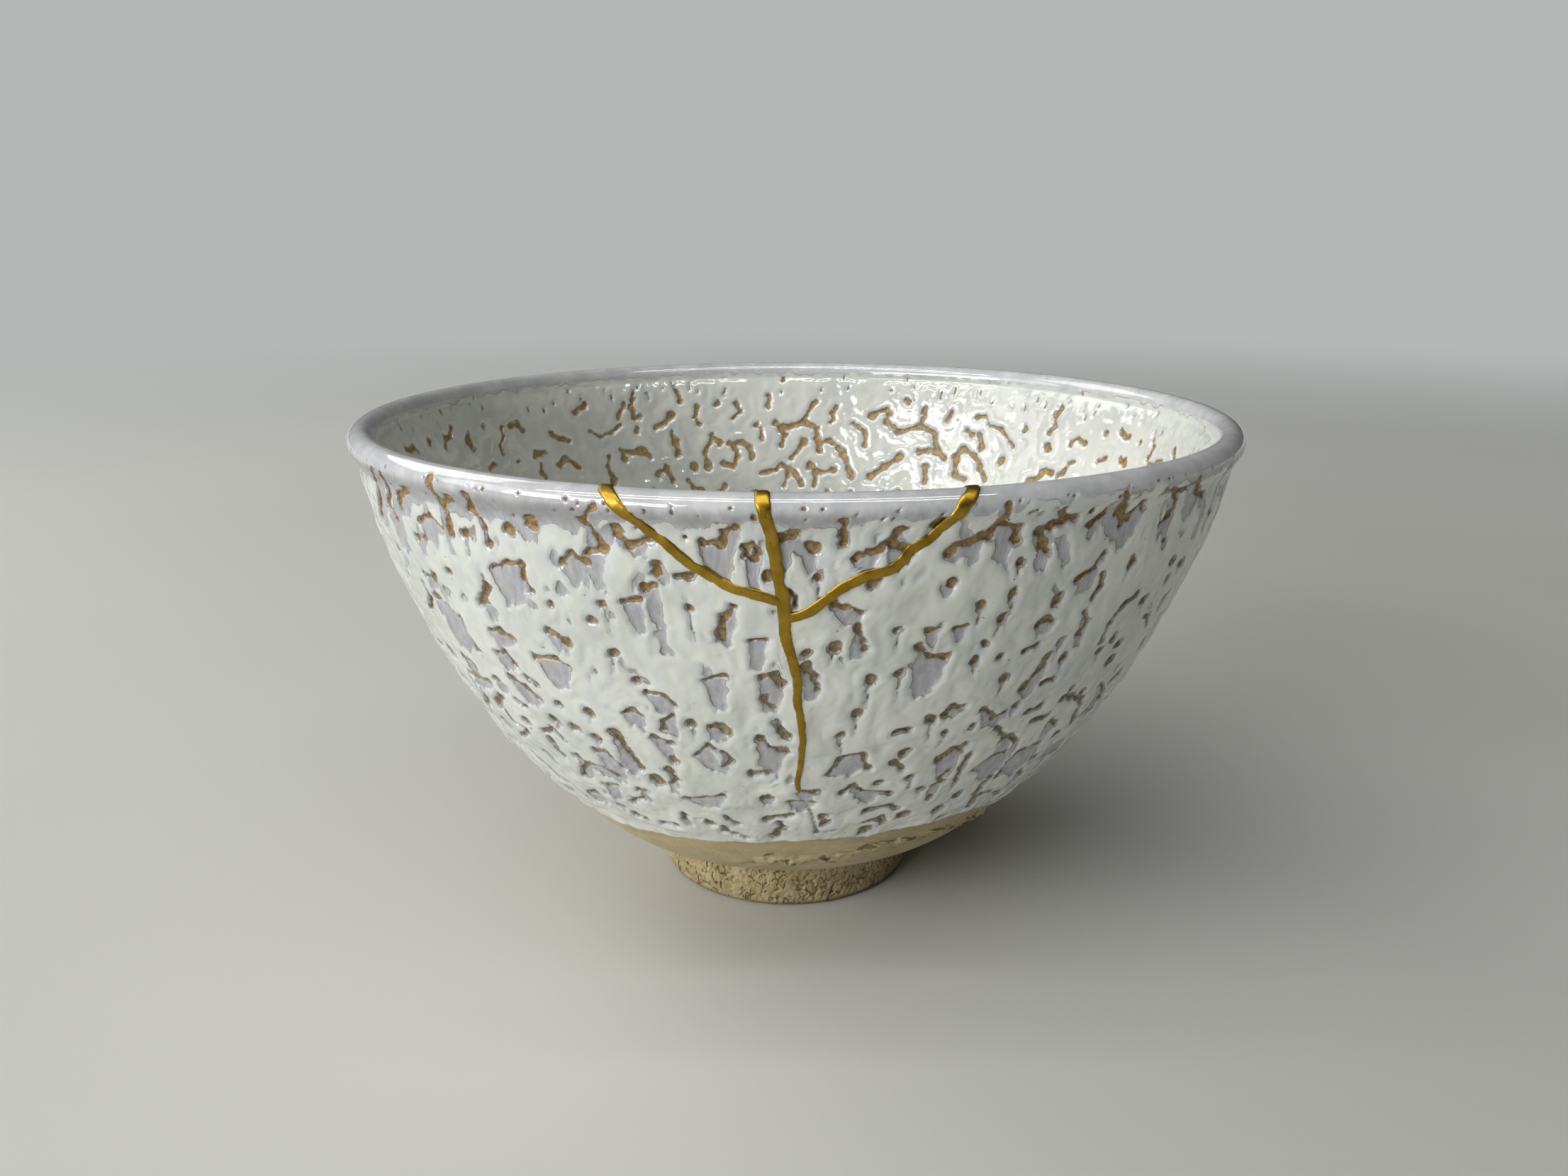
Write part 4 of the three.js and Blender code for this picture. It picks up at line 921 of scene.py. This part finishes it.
# --------------------------------------------------------------- materials
class Nodes:
    def __init__(self, name):
        self.mat = bpy.data.materials.new(name)
        self.mat.use_nodes = True
        self.tree = self.mat.node_tree
        self.bsdf = self.tree.nodes["Principled BSDF"]
        self.co = self.tree.nodes.new("ShaderNodeTexCoord").outputs["Object"]

    def link(self, a, b):
        if isinstance(a, (int, float)):
            b.default_value = a
        elif isinstance(a, tuple):
            b.default_value = a if len(a) == 4 or len(b.default_value) == 3 else (*a, 1.0)
        else:
            self.tree.links.new(a, b)

    def attr(self, name):
        n = self.tree.nodes.new("ShaderNodeAttribute")
        n.attribute_name = name
        return n.outputs["Fac"]

    def math(self, op, a, b=0.0, c=0.0, clamp=False):
        n = self.tree.nodes.new("ShaderNodeMath")
        n.operation = op
        n.use_clamp = clamp
        for v, s in zip((a, b, c), n.inputs):
            self.link(v, s)
        return n.outputs[0]

    def step(self, x, a, b, lo=0.0, hi=1.0):
        n = self.tree.nodes.new("ShaderNodeMapRange")
        n.interpolation_type = "SMOOTHSTEP"
        n.clamp = True
        self.link(x, n.inputs[0])
        for k, v in zip((1, 2, 3, 4), (a, b, lo, hi)):
            n.inputs[k].default_value = v
        return n.outputs[0]

    def scaled(self, sx, sy, sz, co=None):
        n = self.tree.nodes.new("ShaderNodeMapping")
        n.inputs["Scale"].default_value = (sx, sy, sz)
        self.tree.links.new(co or self.co, n.inputs["Vector"])
        return n.outputs[0]

    def noise(self, scale, detail=2.0, rough=0.5, co=None, dist=0.0):
        n = self.tree.nodes.new("ShaderNodeTexNoise")
        n.inputs["Scale"].default_value = scale
        n.inputs["Detail"].default_value = detail
        n.inputs["Roughness"].default_value = rough
        n.inputs["Distortion"].default_value = dist
        self.tree.links.new(co or self.co, n.inputs["Vector"])
        return n.outputs["Fac"]

    def voronoi(self, scale, feature="F1", co=None, rand=1.0):
        n = self.tree.nodes.new("ShaderNodeTexVoronoi")
        n.feature = feature
        n.inputs["Scale"].default_value = scale
        n.inputs["Randomness"].default_value = rand
        self.tree.links.new(co or self.co, n.inputs["Vector"])
        return n.outputs["Distance"]

    def mix(self, f, a, b):
        n = self.tree.nodes.new("ShaderNodeMix")
        n.data_type = "RGBA"
        self.link(f, n.inputs[0])
        self.link(a, n.inputs[6])
        self.link(b, n.inputs[7])
        return n.outputs[2]

    def mixf(self, f, a, b):
        n = self.tree.nodes.new("ShaderNodeMix")
        n.data_type = "FLOAT"
        self.link(f, n.inputs[0])
        self.link(a, n.inputs[2])
        self.link(b, n.inputs[3])
        return n.outputs[0]

    def bump(self, height, distance, strength=1.0, normal=None):
        n = self.tree.nodes.new("ShaderNodeBump")
        n.inputs["Strength"].default_value = strength
        n.inputs["Distance"].default_value = distance
        self.tree.links.new(height, n.inputs["Height"])
        if normal is not None:
            self.tree.links.new(normal, n.inputs["Normal"])
        return n.outputs[0]

    def radius(self):
        """Distance from the axis at rim height, in metres."""
        n = self.tree.nodes.new("ShaderNodeVectorMath")
        n.operation = "SUBTRACT"
        self.tree.links.new(self.co, n.inputs[0])
        n.inputs[1].default_value = (LEAN * 0.001, 0, 0)
        flat = self.tree.nodes.new("ShaderNodeVectorMath")
        flat.operation = "MULTIPLY"
        self.tree.links.new(n.outputs[0], flat.inputs[0])
        flat.inputs[1].default_value = (1, 1, 0)
        size = self.tree.nodes.new("ShaderNodeVectorMath")
        size.operation = "LENGTH"
        self.tree.links.new(flat.outputs[0], size.inputs[0])
        return size.outputs["Value"]

    def height(self):
        n = self.tree.nodes.new("ShaderNodeSeparateXYZ")
        self.tree.links.new(self.co, n.inputs[0])
        return n.outputs[2]


def glaze(name, warm=0.0, within=False):
    m = Nodes(name)
    bare, thin, band = m.attr("bare"), m.attr("thin"), m.attr("band")
    z = m.height()
    jag = m.math("MULTIPLY_ADD", m.noise(1500, 3, 0.6), 0.34, -0.17)
    bare_n = m.math("ADD", bare, jag)
    thin_n = m.math("ADD", thin, m.math("MULTIPLY_ADD", m.noise(900, 3, 0.6), 0.40, -0.20))
    is_bare = m.step(bare_n, 0.07, -0.09)
    is_thin = m.step(thin_n, 0.10, -0.22)
    # thick white
    cloud = m.noise(70, 3, 0.5)
    # painted shade: the inside copy of the glaze is made a little darker than the outside
    inside_shade = 0.955 if within else 1.0
    white = m.mix(m.step(cloud, 0.35, 0.65), ((0.63 + warm) * inside_shade, 0.66 * inside_shade, 0.61 * inside_shade), ((0.755 + warm) * inside_shade, 0.775 * inside_shade, 0.72 * inside_shade))
    white = m.mix(m.step(m.noise(260, 4, 0.6), 0.50, 0.66, 0.0, 0.55), white, (0.79, 0.785, 0.69))
    drift = m.noise(1.0, 3, 0.55, m.scaled(320, 320, 90))
    white = m.mix(m.step(drift, 0.50, 0.70, 0.0, 0.45), white, (0.56, 0.59, 0.62))
    # bluer and greyer where the thick glaze thins towards its edge
    white = m.mix(m.step(m.math("ADD", thin, m.math("MULTIPLY_ADD", m.noise(500, 2), 0.8, -0.4)), 0.75, 0.0, 0.0, 0.5), white, (0.60, 0.635, 0.64))
    speck = m.step(m.voronoi(620), 0.11, 0.06)
    speck = m.math("MULTIPLY", speck, m.step(m.noise(240, 1), 0.60, 0.66))
    white = m.mix(m.math("MULTIPLY", speck, 0.75), white, (0.16, 0.13, 0.10))
    # thin grey-lavender
    streak = m.noise(1.0, 3, 0.6, m.scaled(1400, 1400, 210))
    lav = m.mix(m.step(streak, 0.30, 0.70), (0.372, 0.375, 0.402), (0.500, 0.503, 0.531))
    lav = m.mix(m.step(m.noise(420, 2), 0.50, 0.68, 0.0, 0.40), lav, (0.46, 0.425, 0.35))
    # the grey band under the lip is darkened as painted shade and painted dark reflection; the lip itself is paler,
    # with soft cloudy patches, and is also lightened as a painted highlight along its top
    under_lip_shade = m.mix(m.step(m.noise(210, 5, 0.65), 0.38, 0.66), (0.29, 0.29, 0.305), (0.40, 0.40, 0.405))
    pale_lip_and_sheen = m.mix(m.step(m.noise(300, 5, 0.65), 0.34, 0.70), (0.55, 0.555, 0.58), (0.70, 0.705, 0.705))
    lav = m.mix(m.step(band, -0.2, -1.6, 0.0, 0.75), lav, under_lip_shade)
    inward = m.mix(m.step(m.noise(420, 4, 0.6), 0.36, 0.66), (0.47, 0.475, 0.45), (0.63, 0.645, 0.59))
    lav = m.mix(1.0 if within else m.math("MULTIPLY", m.step(m.radius(), 0.0611, 0.0598), m.step(z, 0.0658, 0.0668)), lav, inward)
    feather = m.math("MULTIPLY_ADD", m.noise(1.0, 3, 0.6, m.scaled(900, 900, 200)), 0.0012, z)
    lav = m.mix(m.step(feather, 0.0701, 0.0714), lav, pale_lip_and_sheen)
    # bare brown, redder above and more ochre below
    up = m.step(z, 0.040, 0.064)
    if within:
        dark, pale, stroke_edge_shade = (0.22, 0.125, 0.028), (0.38, 0.245, 0.075), (0.105, 0.052, 0.014)
    else:
        dark = m.mix(up, (0.175, 0.135, 0.062), (0.200, 0.112, 0.028))
        pale = m.mix(up, (0.36, 0.305, 0.170), (0.38, 0.245, 0.080))
        stroke_edge_shade = m.mix(up, (0.085, 0.063, 0.034), (0.110, 0.048, 0.015))
    brown = m.mix(m.step(m.noise(1300, 3, 0.65), 0.38, 0.62), dark, pale)
    brown = m.mix(m.step(m.noise(2300, 2, 0.6), 0.58, 0.70, 0.0, 0.2 if within else 0.55), brown, (0.50, 0.44, 0.34))
    brown = m.mix(m.step(m.noise(2100, 2, 0.6), 0.36, 0.30, 0.0, 0.35 if within else 0.8), brown, (0.045, 0.027, 0.012))
    # painted shade: the edge of each bare stroke is darkened so that it reads as a hollow
    brown = m.mix(m.step(bare_n, -0.17, -0.02, 0.0, 0.42 if within else 0.62), brown, stroke_edge_shade)
    col = m.mix(is_thin, white, lav)
    # a faint dark line where the thick glaze stops
    rim_line = m.math("MULTIPLY", m.step(thin_n, -0.16, -0.04), m.step(thin_n, 0.08, 0.0))
    col = m.mix(m.math("MULTIPLY", rim_line, m.step(m.noise(300, 2), 0.44, 0.60, 0.0, 0.75)), col, (0.27, 0.215, 0.150))
    col = m.mix(is_bare, col, brown)
    m.link(col, m.bsdf.inputs["Base Color"])
    rough = m.mixf(is_thin, 0.08, 0.13)
    rough = m.mixf(m.step(z, 0.0690, 0.0704), rough, 0.045)
    rough = m.mixf(is_bare, rough, 0.52)
    m.link(rough, m.bsdf.inputs["Roughness"])
    m.bsdf.inputs["IOR"].default_value = 1.68
    fine = m.math("MULTIPLY_ADD", m.noise(520, 3, 0.55), 0.55, 0.0)
    pits = m.math("MULTIPLY", is_bare, m.noise(1700, 3, 0.6))
    calm = m.step(z, 0.0686, 0.0704, 1.0, 0.12)
    edge = m.math("MULTIPLY", m.step(thin_n, 0.06, -0.10), calm)
    fine = m.math("MULTIPLY", fine, calm)
    n1 = m.bump(m.math("SUBTRACT", m.math("SUBTRACT", fine, m.math("MULTIPLY", edge, 1.5)), m.math("MULTIPLY", is_bare, 2.0)), 0.00005, 1.0)
    n2 = m.bump(pits, 0.00010, 1.0, n1)
    m.link(n2, m.bsdf.inputs["Normal"])
    return m.mat


def gold():
    m = Nodes("kintsugi_gold")
    v = m.noise(420, 4, 0.6)
    col = m.mix(m.step(v, 0.30, 0.70), (0.30, 0.180, 0.020), (0.43, 0.275, 0.042))
    col = m.mix(m.step(m.noise(1900, 2, 0.6), 0.60, 0.72, 0.0, 0.6), col, (0.20, 0.11, 0.012))
    m.link(col, m.bsdf.inputs["Base Color"])
    m.bsdf.inputs["Metallic"].default_value = 1.0
    m.link(m.mixf(m.noise(700, 3), 0.30, 0.52), m.bsdf.inputs["Roughness"])
    m.link(m.bump(m.noise(900, 3, 0.6), 0.00006, 1.0), m.bsdf.inputs["Normal"])
    return m.mat


def clay():
    m = Nodes("tan_clay")
    ring, pits, torn = m.attr("ring"), m.attr("pits"), m.attr("torn")
    broad = m.noise(90, 4, 0.55)
    turn = m.noise(1.0, 3, 0.6, m.scaled(40, 40, 900))
    band = m.mix(m.step(broad, 0.35, 0.68), (0.42, 0.335, 0.175), (0.56, 0.475, 0.28))
    band = m.mix(m.step(turn, 0.50, 0.72, 0.0, 0.45), band, (0.33, 0.25, 0.115))
    band = m.mix(m.step(m.noise(340, 5, 0.65), 0.36, 0.66, 0.0, 0.35), band, (0.30, 0.235, 0.12))
    foot = m.mix(m.step(m.noise(260, 4, 0.6), 0.36, 0.66), (0.39, 0.31, 0.155), (0.51, 0.42, 0.240))
    # torn clay along the ridge: the edges of the flakes are lightened as a painted highlight, and the gaps under them
    # are darkened as painted shade
    sheet = m.noise(1.0, 4, 0.62, m.scaled(330, 330, 900), 0.6)
    shaded_gaps = m.math("MULTIPLY", m.step(sheet, 0.455, 0.40), m.step(torn, 0.15, 0.75))
    lit_flake_edges = m.math("MULTIPLY", m.step(sheet, 0.47, 0.50), m.step(sheet, 0.56, 0.51))
    band = m.mix(m.math("MULTIPLY", lit_flake_edges, m.step(torn, 0.15, 0.75, 0.0, 0.7)), band, (0.66, 0.57, 0.36))
    band = m.mix(m.math("MULTIPLY", shaded_gaps, 0.85), band, (0.14, 0.10, 0.038))
    col = m.mix(m.step(ring, 0.3, 0.7), band, foot)
    # short upright cracks all over the foot ring
    bent = m.noise(1.0, 2, 0.5, m.scaled(900, 900, 520), 1.2)
    cells = m.voronoi(1.0, "DISTANCE_TO_EDGE", m.scaled(1050, 1050, 620))
    cracks = m.math("MULTIPLY", m.step(cells, 0.10, 0.02), m.step(bent, 0.50, 0.60))
    cracks = m.math("MULTIPLY", cracks, m.step(ring, 0.4, 0.8))
    col = m.mix(m.math("MULTIPLY", cracks, 0.75), col, (0.105, 0.070, 0.028))
    # painted shade in the scale hollows and the torn hollows
    col = m.mix(m.step(pits, 0.12, 0.40, 0.0, 0.60), col, (0.15, 0.105, 0.042))
    col = m.mix(m.step(m.noise(1500, 2, 0.6), 0.66, 0.74, 0.0, 0.6), col, (0.16, 0.10, 0.05))
    col = m.mix(m.step(m.height(), 0.0011, 0.0004, 0.0, 0.6), col, (0.12, 0.075, 0.04))
    m.link(col, m.bsdf.inputs["Base Color"])
    m.link(m.mixf(m.step(ring, 0.3, 0.7), 0.42, 0.80), m.bsdf.inputs["Roughness"])
    grain = m.math("ADD", m.noise(900, 4, 0.65), m.math("MULTIPLY", turn, 0.6))
    n1 = m.bump(grain, 0.00012, 1.0)
    m.link(m.bump(m.math("MULTIPLY", m.math("ADD", cracks, shaded_gaps), -1.0), 0.00026, 1.0, n1), m.bsdf.inputs["Normal"])
    return m.mat


bowl_mat = glaze("crawled_white_glaze")
inner_mat = glaze("crawled_white_glaze_inside", 0.012, True)
sherd_mat = glaze("crawled_white_glaze_of_sherds", 0.006)
gold_mat = gold()
clay_mat = clay()

for ob, mat, node, slot in ((lower, bowl_mat, "bowl_body", "bowl_glaze"), (upper, bowl_mat, "bowl_body", "bowl_glaze"),
                            (inside, inner_mat, "bowl_body", "bowl_glaze"), (lip_ob, bowl_mat, "bowl_body", "bowl_glaze"),
                            (foot_ob, clay_mat, "bowl_body", "bowl_glaze"), (left_ob, sherd_mat, "rim_sherd_left", "sherd_glaze"),
                            (right_ob, sherd_mat, "rim_sherd_right", "sherd_glaze"), (gold_ob, gold_mat, "gold_seam", "gold")):
    ob.data.materials.append(mat)
    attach(ob, "root")
    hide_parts(node)

# ------------------------------------------------------------ floor, lights
bpy.ops.mesh.primitive_plane_add(size=6.0, location=(0, 0, -0.00002))
floor = bpy.context.object
floor.name = "floor"
fm = Nodes("pale_floor")
far = fm.step(fm.radius(), 0.24, 1.05)
pale = fm.mix(fm.step(fm.noise(3.0, 3), 0.3, 0.7), (0.60, 0.60, 0.57), (0.64, 0.64, 0.61))
fm.link(fm.mix(far, pale, (0.0, 0.0, 0.0)), fm.bsdf.inputs["Base Color"])
fm.bsdf.inputs["Roughness"].default_value = 0.9
fm.bsdf.inputs["Specular IOR Level"].default_value = 0.15
fm.bsdf.inputs["Emission Color"].default_value = (0.45, 0.475, 0.465, 1.0)
fm.link(far, fm.bsdf.inputs["Emission Strength"])
floor.data.materials.append(fm.mat)

world = bpy.data.worlds.new("studio")
bpy.context.scene.world = world
world.use_nodes = True
wt = world.node_tree
wt.nodes["Background"].inputs["Color"].default_value = (0.85, 0.86, 0.80, 1)
wt.nodes["Background"].inputs["Strength"].default_value = 0.045
wall_bg = wt.nodes.new("ShaderNodeBackground")
wall_bg.inputs["Color"].default_value = (0.45, 0.475, 0.465, 1)
ray = wt.nodes.new("ShaderNodeLightPath")
both = wt.nodes.new("ShaderNodeMixShader")
wt.links.new(ray.outputs["Is Camera Ray"], both.inputs[0])
wt.links.new(wt.nodes["Background"].outputs[0], both.inputs[1])
wt.links.new(wall_bg.outputs[0], both.inputs[2])
wt.links.new(both.outputs[0], wt.nodes["World Output"].inputs["Surface"])


def area(name, direction, distance, width, height, power, colour=(1, 1, 1)):
    d = np.array(direction, float)
    d /= np.linalg.norm(d)
    light = bpy.data.lights.new(name, "AREA")
    light.shape = "RECTANGLE"
    light.size, light.size_y = width, height
    light.energy = power
    light.color = colour
    ob = bpy.data.objects.new(name, light)
    centre = np.array([0, 0, 0.04])
    ob.location = centre + d * distance
    z = d
    x = np.cross([0, 0, 1.0], z)
    x /= np.linalg.norm(x)
    y = np.cross(z, x)
    from mathutils import Matrix
    m = Matrix((x, y, z)).transposed()
    ob.rotation_euler = m.to_euler()
    bpy.context.scene.collection.objects.link(ob)
    return ob


for k, (tilt, power) in enumerate(((0.28, 5.9), (0.46, 2.9))):
    area(f"window_{k}", (-0.70, -0.60, tilt), 1.15, 0.90, 0.15, power, (1.0, 0.995, 0.99))
area("window_left", (-0.95, -0.22, 0.45), 1.15, 0.70, 0.50, 2.4, (1.0, 1.0, 0.99))
area("window_behind", (-0.75, 0.55, 0.70), 1.15, 0.70, 0.50, 3.3, (1.0, 0.99, 0.97))
for k, lean_y in enumerate((-0.46, -0.16)):
    tube = area(f"tube_{k}", (0.0, lean_y, 1.0), 1.25, 2.0, 0.030, 2.9, (1.0, 1.0, 0.99))
    tube.location.x -= 0.22
    # a wider strip behind each tube that only adds gloss
    strip = area(f"strip_{k}", (0.0, lean_y, 1.0), 1.27, 2.0, 0.085, 4.6, (1.0, 1.0, 0.99))
    strip.location.x -= 0.22
    strip.visible_diffuse = False
sun = bpy.data.lights.new("sky", "SUN")
sun.energy = 0.16
sun.angle = math.radians(70)
sun.color = (1.0, 0.995, 0.96)
sun_ob = bpy.data.objects.new("sky", sun)
sun_ob.rotation_euler = (math.radians(8), math.radians(-32), 0)
bpy.context.scene.collection.objects.link(sun_ob)

bpy.context.scene.view_settings.view_transform = "Standard"
bpy.context.scene.view_settings.look = "None"
